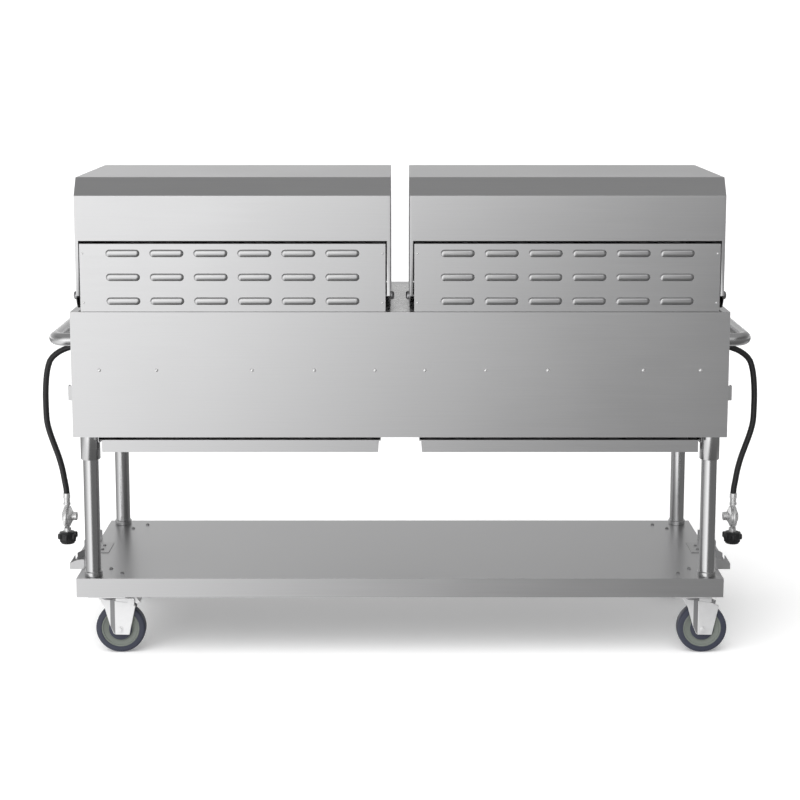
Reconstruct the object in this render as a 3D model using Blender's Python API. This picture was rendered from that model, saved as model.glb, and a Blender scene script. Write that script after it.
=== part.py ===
"""A mobile gas grill with two fireboxes, two roll hoods, an undershelf and four swivel casters.

Metres, +Z up, origin on the floor under the middle of the grill. The operator stands at -Y, so
left is -X and right is +X. A depth is measured forwards (towards -Y) from the rear panel's back.
"""

import math

import bmesh
import bpy
from mathutils import Matrix, Vector

GAP = 0.0003            # left between pieces that touch
SHEET = 0.0015          # stainless sheet

# Casters
WHEEL_RADIUS = 0.0635
WHEEL_WIDTH = 0.032
WHEEL_SIDES = 20
HUB_RADIUS = 0.046
AXLE_RADIUS = 0.006
FORK_PLATE = 0.0025
FORK_ROOM = 0.004       # each side of the wheel, inside the fork
TRAIL = 0.0285          # kingpin to axle
CASTER_ROOM = 0.028     # overall height less the wheel's diameter
CASTER_INSET_X = 0.0735  # kingpin from the shelf's end
CASTER_INSET_DEPTH = 0.048
PLATE_THICK = 0.003
PLATE_SIDE = 0.092
KINGPIN_RADIUS = 0.006
RACE_RADIUS = 0.031
RACE_HEIGHT = 0.008
PEDAL_WIDTH = 0.030

# Undershelf
SHELF_OVERHANG = 0.0015  # past the body at each end
SHELF_SETBACK = 0.017   # shelf's depth less than the body's
SHELF_LIP = 0.048
SHELF_BOLT = 0.0045

# Legs
LEG_RADIUS = 0.01905
LEG_INSET_X = 0.037     # leg's centre from the body's end
LEG_INSET_DEPTH = 0.030
LEG_LENGTH = 0.360      # from shelf to body
LEG_WALL = 0.0016
COLLAR_HEIGHT = 0.012
COLLAR_WALL = 0.00445
SOCKET_WALL = 0.00495
SOCKET_LENGTH = 0.060

# Body
BODY_WIDTH = 1.610
BODY_DEPTH = 0.547
BODY_HEIGHT = 0.312
FLANGE = 0.020          # top flange of an end panel
REAR_FLANGE = 0.0145
DECK_DEPTH = 0.0635     # top flange of the control panel
BRIDGE_HALF = 0.0375    # half the bridge between the fireboxes
RIVET_RADIUS = 0.004
RIVET_SHARES = (0.0758, 0.2609, 0.4497, 0.7404, 0.9143)  # places as shares of half the body
RIVET_DROP = 0.144      # below the body's top

# Drip trays and their rails
TRAY_DROP = 0.0094      # tray's top below the body
TRAY_HEIGHT = 0.0306
TRAY_INNER_X = 0.054
TRAY_FLANGE = 0.005
TRAY_REAR = 0.012
TRAY_SETBACK = 0.029    # tray's depth less than the body's
TRAY_PULL = 0.026
RAIL_LIP = 0.0062

# Fireboxes
FIREBOX_INNER_X = 0.040
FIREBOX_END_ROOM = 0.027   # firebox to the body's end
FIREBOX_REAR = 0.017
FIREBOX_FRONT_ROOM = 0.067  # firebox to the front of the body
FIREBOX_FOOT = 0.0388   # firebox's height less than the body's
LEDGE = 0.010
GRATE_LEDGE_DROP = 0.030
GRATE_THICK = 0.010
GRATE_SLOTS = 20
GRATE_BAR = 0.008
RADIANT_LEDGE_DROP = 0.094
RADIANT_RISE = 0.030
BURNERS = 4             # in each firebox
BURNER_RADIUS = 0.016
BURNER_WALL = 0.002
BURNER_DROP = 0.126     # burner's axis below the body's top
CARRYOVER_RADIUS = 0.006

# Gas pipe, valves and knobs
PIPE_RADIUS = 0.008
PIPE_FROM_FRONT = 0.029
VALVE_SIDE = 0.024
STEM_RADIUS = 0.004
RUNNING_FIT = 0.0008
KNOB_RADIUS = 0.022
KNOB_LENGTH = 0.032
INLET_FROM_MIDDLE = 0.016  # hose inlet behind the body's mid-depth

# Louvre panels and hoods
LOUVER_INNER_X = 0.034
LOUVER_END_ROOM = 0.026
LOUVER_HEIGHT = 0.1695
LOUVER_RETURN = 0.040
LOUVER_ROWS = 3
LOUVER_COLUMNS = 6
LOUVER_TALL = 0.0176
LOUVER_SHARE = 0.769     # louvre's length over its pitch
LOUVER_SIDE_ROOM = 0.0527
LOUVER_END_ROWS = 0.0525  # outer rows' centres to the panel's top and bottom, together
LOUVER_TOP_ROW = 0.0255  # top row's centre below the panel's top
LOUVER_RISE = 0.004
HOOD_INNER_X = 0.0235
HOOD_END_ROOM = 0.017
HOOD_HEIGHT = 0.3267     # above the body's top
HOOD_CLEAR = 0.006       # hood's lower edge above the body
HOOD_SETBACK = 0.006     # hood's front behind the body's front
HOOD_FLANGE = 0.009
CHAMFER_DEPTH = 0.031
CHAMFER_DROP = 0.0427
FRONT_SLOPE_DEPTH = 0.083
FRONT_SLOPE_DROP = 0.150
SKIRT_GAP = 0.0055
PIVOT_DEPTH = 0.022
PIVOT_HEIGHT = 0.0386    # above the body's top
STUD_RADIUS = 0.004
STUD_HEAD = 0.011
STUD_HEAD_LENGTH = 0.0085
HOOD_GRIP_RADIUS = 0.011
HOOD_GRIP_LENGTH = 0.520
HOOD_GRIP_REACH = 0.045
HOOD_GRIP_HEIGHT = 0.075  # above the body's top

# Push handles
PUSH_RADIUS = 0.0159
PUSH_REACH = 0.054
PUSH_DROP = 0.078        # below the body's top
PUSH_REAR_ARM = 0.060
PUSH_FRONT_ROOM = 0.077
PUSH_BEND = 0.035
PUSH_FLANGE_RADIUS = 0.026
PUSH_FLANGE = 0.003
CLIP_REACH = 0.0112
CLIP_HEIGHT = 0.0364
CLIP_ABOVE_BOTTOM = 0.090

# Cylinder brackets
BRACKET_REACH = 0.0305   # past the shelf's end
BRACKET_INBOARD = 0.006  # onto the shelf
BRACKET_REAR = 0.078     # depth of its rear wall
BRACKET_LENGTH = 0.272
BRACKET_TAB_REACH = 0.044  # onto the shelf, with the screws
BRACKET_TAB_WIDTH = 0.090
BRACKET_TAB_DEPTH = 0.265
BRACKET_OUTER_WALL = 0.015
BRACKET_INNER_WALL = 0.025
BRACKET_HOOK = 0.018     # height of the turned-in ends of the outer wall
BRACKET_WALL_RUN = 0.072

# Hose, regulator and nut
HOSE_RADIUS = 0.00725
HOSE_SAMPLES = 20
REGULATOR_RADIUS = 0.033
NUT_RADIUS = 0.0212
NUT_WING_RADIUS = 0.0270
NUT_HEIGHT = 0.0305

# Worked out from the sizes above
HALF = BODY_WIDTH / 2
SHELF_HALF = HALF + SHELF_OVERHANG
AXLE_Z = WHEEL_RADIUS * math.cos(math.pi / WHEEL_SIDES)  # the wheel stands on a facet
CASTER_HEIGHT = 2 * WHEEL_RADIUS + CASTER_ROOM
SHELF_BOTTOM = CASTER_HEIGHT
SHELF_DEPTH = BODY_DEPTH - SHELF_SETBACK
SHELF_TOP = SHELF_BOTTOM + SHELF_LIP
BOTTOM = SHELF_TOP + LEG_LENGTH
TOP = BOTTOM + BODY_HEIGHT
HOOD_DEPTH = BODY_DEPTH - HOOD_SETBACK
FRONT_MOST = HOOD_DEPTH + HOOD_GRIP_REACH + HOOD_GRIP_RADIUS
REAR_Y = (FRONT_MOST - LOUVER_RISE) / 2
LEG_X = HALF - LEG_INSET_X
LEG_DEPTHS = {"rear": LEG_INSET_DEPTH, "front": SHELF_DEPTH - LEG_INSET_DEPTH}
CASTER_X = SHELF_HALF - CASTER_INSET_X
CASTER_DEPTHS = {"rear": CASTER_INSET_DEPTH, "front": SHELF_DEPTH - CASTER_INSET_DEPTH}
COLLAR_RADIUS = LEG_RADIUS + COLLAR_WALL
SOCKET_RADIUS = LEG_RADIUS + SOCKET_WALL
TRAY_TOP = BOTTOM - TRAY_DROP
TRAY_DEPTH = BODY_DEPTH - TRAY_SETBACK
TRAY_OUTER_X = LEG_X - SOCKET_RADIUS - 0.0075
RAIL_WEB = TRAY_FLANGE + 0.0003 + GAP
FIREBOX_OUTER_X = HALF - FIREBOX_END_ROOM
FIREBOX_FRONT = BODY_DEPTH - FIREBOX_FRONT_ROOM
FIREBOX_TOP = TOP - SHEET - GAP
FIREBOX_HEIGHT = BODY_HEIGHT - FIREBOX_FOOT
BURNER_Z = TOP - BURNER_DROP
BURNER_PITCH = (FIREBOX_OUTER_X - FIREBOX_INNER_X) * 0.237
BURNER_XS = [(FIREBOX_OUTER_X + FIREBOX_INNER_X) / 2 + BURNER_PITCH * (i - (BURNERS - 1) / 2)
             for i in range(BURNERS)]
BURNER_MOUTH = FIREBOX_FRONT + 0.016
PIPE_DEPTH = BODY_DEPTH - PIPE_FROM_FRONT
PIPE_END_X = (FIREBOX_OUTER_X + HALF - SHEET) / 2
INLET_DEPTH = BODY_DEPTH / 2 - INLET_FROM_MIDDLE
LOUVER_OUTER_X = HALF - LOUVER_END_ROOM
LOUVER_TOP = TOP + LOUVER_HEIGHT
LOUVER_PITCH_X = (LOUVER_OUTER_X - LOUVER_INNER_X - 2 * LOUVER_SIDE_ROOM) / LOUVER_COLUMNS
LOUVER_PITCH_Z = (LOUVER_HEIGHT - LOUVER_END_ROWS) / (LOUVER_ROWS - 1)
LOUVER_LENGTH = LOUVER_PITCH_X * LOUVER_SHARE
HOOD_OUTER_X = HALF - HOOD_END_ROOM
HOOD_MIDDLE_X = (HOOD_OUTER_X + HOOD_INNER_X) / 2
HOOD_BOTTOM = TOP + HOOD_CLEAR
HOOD_TOP = TOP + HOOD_HEIGHT
PIVOT_Z = TOP + PIVOT_HEIGHT
PUSH_Z = TOP - PUSH_DROP
PUSH_DEPTHS = (PUSH_REAR_ARM, BODY_DEPTH - PUSH_FRONT_ROOM)
BRACKET_DEPTHS = (BRACKET_REAR, BRACKET_REAR + BRACKET_LENGTH)

# The right hose's middle line, x past the body's end and height below the inlet
HOSE_ROUTE = (
    (0.0065, 0.0), (0.0180, 0.0), (0.0290, -0.0006), (0.0480, -0.0050), (0.0757, -0.0158),
    (0.0967, -0.0315), (0.1064, -0.0473), (0.1138, -0.0788), (0.1177, -0.126), (0.1177, -0.1733),
    (0.1160, -0.2048), (0.1085, -0.2363), (0.0980, -0.2678), (0.0875, -0.2993), (0.0796, -0.3308),
    (0.0744, -0.3623), (0.0712, -0.3810), (0.0704, -0.3940), (0.0704, -0.4070),
)

FINISHES = {  # colour, metallic, roughness
    "stainless": ((0.62, 0.62, 0.63), 1.0, 0.34),
    "stainless_tube": ((0.66, 0.66, 0.67), 1.0, 0.25),
    "zinc": ((0.80, 0.80, 0.80), 0.6, 0.40),
    "cast": ((0.05, 0.05, 0.052), 0.6, 0.65),
    "knob_black": ((0.02, 0.02, 0.022), 0.0, 0.45),
    "tyre": ((0.05, 0.053, 0.075), 0.0, 0.60),
    "hose_rubber": ((0.02, 0.02, 0.021), 0.0, 0.55),
    "brass": ((0.70, 0.52, 0.24), 1.0, 0.35),
}


def y_of(depth):
    return REAR_Y - depth


def clear_scene():
    for obj in list(bpy.data.objects):
        bpy.data.objects.remove(obj, do_unlink=True)


def finish_material(name):
    material = bpy.data.materials.get(name)
    if material:
        return material
    colour, metallic, roughness = FINISHES[name]
    material = bpy.data.materials.new(name)
    material.use_nodes = True
    shader = material.node_tree.nodes["Principled BSDF"]
    shader.inputs["Base Color"].default_value = (*colour, 1.0)
    shader.inputs["Metallic"].default_value = metallic
    shader.inputs["Roughness"].default_value = roughness
    return material


# Shapes: each returns a mesh in world coordinates

def mesh_of(bm):
    bmesh.ops.recalc_face_normals(bm, faces=bm.faces)
    mesh = bpy.data.meshes.new("shape")
    bm.to_mesh(mesh)
    bm.free()
    return mesh


def loft(rings):
    """A closed solid through rings of world points with the same count."""
    bm = bmesh.new()
    rows = [[bm.verts.new(point) for point in ring] for ring in rings]
    for low, high in zip(rows, rows[1:]):
        for k in range(len(low)):
            bm.faces.new((low[k - 1], low[k], high[k], high[k - 1]))
    bm.faces.new(rows[0])
    bm.faces.new(rows[-1])
    return mesh_of(bm)


def prism(outline, axis, start, end):
    """An outline extruded: (depth, z) points along x, (x, z) along depth, (x, depth) along z."""
    place = {
        "x": lambda p, t: (t, y_of(p[0]), p[1]),
        "depth": lambda p, t: (p[0], y_of(t), p[1]),
        "z": lambda p, t: (p[0], y_of(p[1]), t),
    }[axis]
    return loft([[place(p, t) for p in outline] for t in (start, end)])


def box(x, depth, z):
    """A box from (low, high) pairs."""
    return prism([(x[0], z[0]), (x[1], z[0]), (x[1], z[1]), (x[0], z[1])], "depth", *depth)


def turned(profile, centre, axis="z", sides=16, ring=False):
    """A profile of (radius, height) points turned round an axis; a ring's profile is closed."""
    bm = bmesh.new()
    rows = []
    for radius, height in profile:
        row = []
        for k in range(sides if radius else 1):
            angle = (k + 0.5) * math.tau / sides
            a, b = radius * math.cos(angle), radius * math.sin(angle)
            local = {"x": (height, a, b), "y": (a, height, b), "z": (a, b, height)}[axis]
            row.append(bm.verts.new(Vector(centre) + Vector(local)))
        rows.append(row)
    pairs = list(zip(rows, rows[1:]))
    if ring:
        pairs.append((rows[-1], rows[0]))
    else:
        for row in (rows[0], rows[-1]):
            if len(row) > 1:
                bm.faces.new(row)
    for low, high in pairs:
        for k in range(sides):
            corners = (low[k % len(low)], low[(k + 1) % len(low)],
                       high[(k + 1) % len(high)], high[k % len(high)])
            bm.faces.new(list(dict.fromkeys(corners)))
    return mesh_of(bm)


def cylinder(radius, start, end, centre, axis, sides=12):
    return turned([(radius, start), (radius, end)], centre, axis, sides)


def swept(points, radius, sides=12):
    """A round bar along a path of world points."""
    points = [Vector(p) for p in points]
    tangents = [(after - before).normalized()
                for before, after in zip(points[:1] + points[:-1], points[1:] + points[-1:])]
    across = tangents[0].orthogonal().normalized()
    rings = []
    for point, tangent in zip(points, tangents):
        across = (across - tangent * across.dot(tangent)).normalized()
        other = tangent.cross(across)
        rings.append([point + radius * (math.cos(a) * across + math.sin(a) * other)
                      for a in ((k + 0.5) * math.tau / sides for k in range(sides))])
    return loft(rings)


def rounded(points, radius, steps=5):
    """A path with each inner corner replaced by a curve that starts a radius away from it."""
    points = [Vector(p) for p in points]
    path = [points[0]]
    for before, corner, after in zip(points, points[1:], points[2:]):
        first = corner + (before - corner).normalized() * radius
        last = corner + (after - corner).normalized() * radius
        for k in range(steps + 1):
            t = k / steps
            path.append(first * (1 - t) ** 2 + corner * 2 * t * (1 - t) + last * t ** 2)
    return path + [points[-1]]


def offset(path, distance):
    """A flat path moved to its right by a distance, with mitred corners."""
    points = [Vector(p) for p in path]
    ways = [(b - a).normalized() for a, b in zip(points, points[1:])]
    moved = []
    for point, before, after in zip(points, ways[:1] + ways, ways + ways[-1:]):
        rights = Vector((before.y + after.y, -before.x - after.x))
        moved.append(point + rights * (distance / (1 + before.dot(after))))
    return moved


def folded(path, thickness=SHEET):
    """The closed outline of a sheet folded along a path, lying to the path's right."""
    return [Vector(p) for p in path] + offset(path, thickness)[::-1]


def merged(meshes):
    """Meshes that don't touch, as one."""
    bm = bmesh.new()
    for mesh in meshes:
        bm.from_mesh(mesh)
    return mesh_of(bm)


def mirrored(mesh):
    """A copy of the mesh for the other end of the grill."""
    copy = mesh.copy()
    copy.transform(Matrix.Scale(-1, 4, (1, 0, 0)))
    copy.flip_normals()
    return copy


def combined(base, add=(), cut=()):
    """One mesh: the base, with the meshes in add joined to it and those in cut taken away."""
    body = bpy.data.objects.new("work", base)
    bpy.context.collection.objects.link(body)
    helpers = []
    for operation, meshes in (("UNION", add), ("DIFFERENCE", cut)):
        for mesh in meshes:
            helper = bpy.data.objects.new("helper", mesh)
            helper.hide_render = True
            helper.display_type = "WIRE"
            bpy.context.collection.objects.link(helper)
            modifier = body.modifiers.new(operation.lower(), "BOOLEAN")
            modifier.operation = operation
            modifier.object = helper
            helpers.append(helper)
    graph = bpy.context.evaluated_depsgraph_get()
    result = bpy.data.meshes.new_from_object(body.evaluated_get(graph))
    for obj in (body, *helpers):
        bpy.data.objects.remove(obj, do_unlink=True)
    return result


def joint_frame(name, pivot):
    """An empty on a joint's axis, which carries the pieces that move with it."""
    empty = bpy.data.objects.new(name, None)
    empty.location = pivot
    bpy.context.collection.objects.link(empty)
    return empty


def add_node(name, mesh, finish, pivot=(0, 0, 0), parent=None):
    """A piece of the grill, with its origin at the pivot."""
    mesh.transform(Matrix.Translation(-Vector(pivot)))
    mesh.materials.clear()
    mesh.materials.append(finish_material(finish))
    mesh.shade_smooth()
    mesh.set_sharp_from_angle(angle=math.radians(35))
    obj = bpy.data.objects.new(name, mesh)
    obj.location = Vector(pivot)
    bpy.context.collection.objects.link(obj)
    if parent:
        obj.parent = parent
        obj.location = Vector(pivot) - parent.location
    return obj


def add_pair(name, mesh, finish):
    """A fixed piece modelled at the right end, and its mirror image at the left."""
    add_node(f"{name}_left", mirrored(mesh), finish)
    add_node(f"{name}_right", mesh, finish)


# Body panels

def rear_panel():
    flange = HALF - FLANGE - 0.0015
    lower_flange = TRAY_OUTER_X - 0.001
    rivets = [turned([(RIVET_RADIUS, -SHEET / 2), (RIVET_RADIUS * 0.6, 0.0018)],
                     (side * x, y_of(0), TOP - RIVET_DROP), "y", 6)
              for side in (-1, 1) for x in (share * HALF for share in RIVET_SHARES)]
    plate = box((-HALF, HALF), (0, SHEET), (BOTTOM, TOP))
    top = box((-flange, flange), (SHEET / 2, REAR_FLANGE), (TOP - SHEET, TOP))
    low = box((-lower_flange, lower_flange), (SHEET / 2, REAR_FLANGE), (BOTTOM, BOTTOM + SHEET))
    add_node("rear_panel", combined(plate, add=[top, low, merged(rivets)]), "stainless")


def control_panel():
    flange = HALF - FLANGE - 0.0015
    lower_flange = TRAY_OUTER_X - 0.001
    front = BODY_DEPTH - SHEET / 2
    plate = box((-HALF, HALF), (BODY_DEPTH - SHEET, BODY_DEPTH), (BOTTOM, TOP))
    top = box((-flange, flange), (BODY_DEPTH - DECK_DEPTH, front), (TOP - SHEET, TOP))
    low = box((-lower_flange, lower_flange), (BODY_DEPTH - FLANGE, front),
              (BOTTOM, BOTTOM + SHEET))
    holes = [cylinder(STEM_RADIUS + 0.0025, -0.01, 0.01, (side * x, y_of(BODY_DEPTH), BURNER_Z), "y", 8)
             for side in (-1, 1) for x in BURNER_XS]
    add_node("control_panel", combined(plate, add=[top, low], cut=[merged(holes)]), "stainless")


def rail_lip_z():
    """Underside of the lip that a drip tray's flange slides on."""
    return TRAY_TOP - 2 * SHEET - GAP


def end_panels():
    """Folded end sheets with the tray rail, the leg sockets, the hose's hole and a small clip."""
    web = TRAY_OUTER_X + RAIL_WEB
    path = [(HALF - FLANGE, TOP), (HALF, TOP), (HALF, BOTTOM), (web + SHEET, BOTTOM),
            (web + SHEET, rail_lip_z()), (web + SHEET - RAIL_LIP, rail_lip_z())]
    sheet = prism(folded(path), "depth", SHEET + GAP, BODY_DEPTH - SHEET - GAP)
    bore = LEG_RADIUS + 0.0012
    sockets = [turned([(SOCKET_RADIUS, BOTTOM - SOCKET_LENGTH), (SOCKET_RADIUS, BOTTOM + SHEET / 2),
                       (bore, BOTTOM + SHEET / 2), (bore, BOTTOM - SOCKET_LENGTH)],
                      (LEG_X, y_of(depth), 0), "z", 12, ring=True)
               for depth in LEG_DEPTHS.values()]
    clip_z = BOTTOM + CLIP_ABOVE_BOTTOM
    clip = box((HALF - SHEET / 2, HALF + CLIP_REACH), (0.012, 0.0155), (clip_z, clip_z + CLIP_HEIGHT))
    clip_lip = box((HALF + CLIP_REACH - 0.003, HALF + CLIP_REACH), (0.012, 0.030),
                   (clip_z, clip_z + CLIP_HEIGHT))
    hole = cylinder(PIPE_RADIUS + 0.0015, HALF - 0.01, HALF + 0.01, (0, y_of(INLET_DEPTH), BURNER_Z), "x")
    add_pair("end_panel", combined(sheet, add=[*sockets, clip, clip_lip], cut=[hole]), "stainless")


def center_bridge():
    web = TRAY_INNER_X - RAIL_WEB - SHEET
    wall = BRIDGE_HALF - SHEET
    half = [(web + RAIL_LIP, rail_lip_z()), (web, rail_lip_z()), (web, BOTTOM), (wall, BOTTOM),
            (wall, TOP - SHEET)]
    path = half + [(-x, z) for x, z in half[::-1]]
    front = BODY_DEPTH - FLANGE - GAP
    sheet = prism(folded(path), "depth", REAR_FLANGE + GAP, front)
    deck = box((-0.05, 0.05), (BODY_DEPTH - DECK_DEPTH - GAP, front + 0.01), (TOP - SHEET - GAP, TOP + 0.01))
    add_node("center_bridge", combined(sheet, cut=[deck]), "stainless")


def fireboxes():
    """Four-walled liners, with a ledge for the grate and one for the radiant."""
    x = (FIREBOX_INNER_X, FIREBOX_OUTER_X)
    depth = (FIREBOX_REAR, FIREBOX_FRONT)
    bottom = FIREBOX_TOP - FIREBOX_HEIGHT

    def inside(z, margin):
        return box((x[0] + margin, x[1] - margin), (depth[0] + margin, depth[1] - margin), z)

    walls = box(x, depth, (bottom, FIREBOX_TOP))
    rim = box((x[0] - 0.0015, x[1] + 0.0075), (depth[0] - 0.010, depth[1] + 0.010),
              (FIREBOX_TOP - SHEET, FIREBOX_TOP))
    grate = TOP - GRATE_LEDGE_DROP
    radiant = TOP - RADIANT_LEDGE_DROP
    cuts = [inside((bottom - 0.01, radiant - SHEET), SHEET),
            inside((radiant, grate - SHEET), SHEET),
            inside((grate, TOP), SHEET),
            inside((bottom - 0.02, TOP + 0.01), SHEET + LEDGE)]
    holes = [cylinder(BURNER_RADIUS + 0.0015, -0.006, 0.006, (bx, y_of(depth[1]), BURNER_Z), "y", 10)
             for bx in BURNER_XS]
    add_pair("firebox", combined(walls, add=[rim], cut=[*cuts, merged(holes)]), "stainless")


# Burners, radiants and grates

def burner_pairs():
    """Two tube burners joined by a carry-over tube; each mouth is open at the front."""
    for number, (first, second) in enumerate((BURNER_XS[:2], BURNER_XS[2:]), 1):
        tubes = []
        for x in (first, second):
            inner = BURNER_RADIUS - BURNER_WALL
            rear = FIREBOX_REAR + SHEET + GAP
            profile = [(0.004, -rear), (0.004, -0.045), (BURNER_RADIUS, -0.048),
                       (BURNER_RADIUS, -BURNER_MOUTH), (inner, -BURNER_MOUTH), (inner, -0.052),
                       (0, -0.052)]
            tubes.append(turned(profile, (x, REAR_Y, BURNER_Z), "y", 8))
        reach = BURNER_RADIUS - BURNER_WALL - 0.0002
        link = cylinder(CARRYOVER_RADIUS, first + reach, second - reach,
                        (0, y_of(BODY_DEPTH / 2), BURNER_Z), "x", 6)
        add_pair(f"burner_pair_{number}", combined(tubes[0], add=[link, tubes[1]]), "stainless")


def radiants():
    """A sheet folded into a roof over each burner, with slots between the roofs."""
    ledge = TOP - RADIANT_LEDGE_DROP + GAP
    room = SHEET + 0.0015
    low_x, high_x = FIREBOX_INNER_X + room, FIREBOX_OUTER_X - room
    half_roof = BURNER_PITCH * 0.30
    path = [(low_x, ledge)]
    for x in BURNER_XS:
        path += [(x - half_roof, ledge), (x, ledge + RADIANT_RISE), (x + half_roof, ledge)]
    path.append((high_x, ledge))
    depth = (FIREBOX_REAR + room, FIREBOX_FRONT - room)
    sheet = prism(folded(path[::-1]), "depth", *depth)
    slots = []
    for left, right in zip(BURNER_XS, BURNER_XS[1:]):
        middle = (left + right) / 2
        half_slot = BURNER_PITCH * 0.12
        for k in range(3):
            start = depth[0] + (depth[1] - depth[0]) * (0.06 + 0.31 * k)
            end = start + (depth[1] - depth[0]) * 0.26
            slots.append(box((middle - half_slot, middle + half_slot), (start, end),
                             (ledge - 0.01, ledge + 0.01)))
    add_pair("radiant", combined(sheet, cut=[merged(slots)]), "stainless")


def grates():
    room = SHEET + 0.0015
    x = (FIREBOX_INNER_X + room, FIREBOX_OUTER_X - room)
    depth = (FIREBOX_REAR + room, FIREBOX_FRONT - room)
    low = TOP - GRATE_LEDGE_DROP + GAP
    z = (low, low + GRATE_THICK)
    pitch = (x[1] - x[0] - GRATE_BAR) / GRATE_SLOTS
    slots = [box((x[0] + k * pitch + GRATE_BAR, x[0] + (k + 1) * pitch),
                 (depth[0] + 0.012, depth[1] - 0.012), (z[0] - 0.01, z[1] + 0.01))
             for k in range(GRATE_SLOTS)]
    mesh = combined(box(x, depth, z), cut=[merged(slots)])
    middle = (x[0] + x[1]) / 2
    for side, copy in (("left", mirrored(mesh)), ("right", mesh)):
        sign = -1 if side == "left" else 1
        add_node(f"grate_{side}", copy, "cast", (sign * middle, y_of(sum(depth) / 2), low))


# Gas pipes and knobs

def manifolds():
    """A pipe with four valves, and its inlet through the end panel."""
    end = HALF + HOSE_ROUTE[0][0] - GAP
    path = [(BURNER_XS[0] - 0.03, y_of(PIPE_DEPTH), BURNER_Z), (PIPE_END_X, y_of(PIPE_DEPTH), BURNER_Z),
            (PIPE_END_X, y_of(INLET_DEPTH), BURNER_Z), (end, y_of(INLET_DEPTH), BURNER_Z)]
    pipe = swept(rounded(path, 0.011, 2), PIPE_RADIUS, 8)
    valves = []
    spuds = []
    bores = []
    body = (PIPE_DEPTH - 0.014, PIPE_DEPTH + 0.018)
    nose = BODY_DEPTH - SHEET - 0.002
    for x in BURNER_XS:
        half = VALVE_SIDE / 2
        valves.append(box((x - half, x + half), body, (BURNER_Z - half, BURNER_Z + half)))
        spuds.append(cylinder(0.004, -body[0] - 0.004, -BURNER_MOUTH + 0.005,
                              (x, REAR_Y, BURNER_Z), "y", 6))
        spuds.append(cylinder(0.0085, -nose, -body[1] + 0.002, (x, REAR_Y, BURNER_Z), "y", 8))
        bores.append(cylinder(STEM_RADIUS + RUNNING_FIT, -nose - 0.002, -nose + 0.013,
                              (x, REAR_Y, BURNER_Z), "y", 8))
    mesh = combined(pipe, add=[merged(valves), merged(spuds)], cut=[merged(bores)])
    add_pair("manifold", mesh, "brass")


def knobs():
    """Each knob has its own stem, which turns in the valve."""
    back = BODY_DEPTH + 0.001
    tip = BODY_DEPTH - SHEET - 0.002 - 0.011
    face = back + KNOB_LENGTH * 0.62
    profile = [(STEM_RADIUS, -tip), (STEM_RADIUS, -back), (KNOB_RADIUS, -back), (KNOB_RADIUS, -back - 0.006),
               (KNOB_RADIUS * 0.86, -face), (0, -face)]
    for side, sign in (("left", -1), ("right", 1)):
        places = sorted(sign * x for x in BURNER_XS)
        for number, x in enumerate(places, 1):
            centre = (x, REAR_Y, BURNER_Z)
            grip = prism([(x - 0.005, BURNER_Z - 0.018), (x + 0.005, BURNER_Z - 0.018),
                          (x + 0.004, BURNER_Z + 0.018), (x - 0.004, BURNER_Z + 0.018)],
                         "depth", face - 0.003, back + KNOB_LENGTH)
            mesh = combined(turned(profile, centre, "y", 12), add=[grip])
            add_node(f"knob_{side}_{number}", mesh, "knob_black", (x, y_of(back), BURNER_Z))


# Louvre panels and hoods

def louver(x, z):
    """One pressed louvre, as a low bump on the back of its panel."""
    rings = []
    for rise, shrink in ((-SHEET / 2, 0.0), (LOUVER_RISE, 0.0036)):
        half_x = LOUVER_LENGTH / 2 - shrink
        half_z = LOUVER_TALL / 2 - shrink
        flat = half_x - half_z * 0.7
        outline = [(half_x, 0), (flat, half_z), (-flat, half_z), (-half_x, 0), (-flat, -half_z),
                   (flat, -half_z)]
        rings.append([(x + a, y_of(-rise), z + b) for a, b in outline])
    return loft(rings)


def pivot_stud(x, way):
    """The bolt that a hood turns on, with its spacer and its head; way points out of the hood."""
    hood = HOOD_OUTER_X if way > 0 else HOOD_INNER_X
    inner_face = hood - way * (SHEET + GAP)
    outer_face = hood + way * GAP
    profile = [(0.008, x - way * SHEET / 2), (0.008, inner_face), (STUD_RADIUS, inner_face),
               (STUD_RADIUS, outer_face), (STUD_HEAD, outer_face),
               (STUD_HEAD, outer_face + way * STUD_HEAD_LENGTH)]
    return turned(profile, (0, y_of(PIVOT_DEPTH), PIVOT_Z), "x", 12)


def louver_panels():
    """The fixed back of each hood, folded at its ends, which carries the hood's two pivots."""
    low, high = LOUVER_INNER_X, LOUVER_OUTER_X
    path = [(low, LOUVER_RETURN), (low, 0), (high, 0), (high, LOUVER_RETURN)]
    z = (TOP + GAP, LOUVER_TOP)
    panel = prism([Vector(p) for p in path] + offset(path, -SHEET)[::-1], "z", *z)
    top = box((low + SHEET / 2, high - SHEET / 2), (SHEET / 2, 0.010), (z[1] - SHEET, z[1]))
    foot = box((low + SHEET / 2, high - SHEET / 2), (SHEET / 2, 0.013), (z[0], z[0] + SHEET))
    middle = (low + high) / 2
    bumps = [louver(middle + LOUVER_PITCH_X * (c - (LOUVER_COLUMNS - 1) / 2),
                    LOUVER_TOP - LOUVER_TOP_ROW - LOUVER_PITCH_Z * r)
             for r in range(LOUVER_ROWS) for c in range(LOUVER_COLUMNS)]
    studs = [pivot_stud(low, -1), pivot_stud(high, 1)]
    add_pair("louver_panel", combined(panel, add=[top, foot, *studs, merged(bumps)]), "stainless")


def hood_back_corner():
    """Where the hood's rear edge rounds under the pivot, as (depth, z) points going down."""
    radius = PIVOT_Z - HOOD_BOTTOM
    start = math.acos(min(1.0, PIVOT_DEPTH / radius))
    return [(PIVOT_DEPTH - radius * math.cos(a), PIVOT_Z - radius * math.sin(a))
            for a in (start + (math.pi / 2 - start) * k / 4 for k in range(5))]


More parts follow.
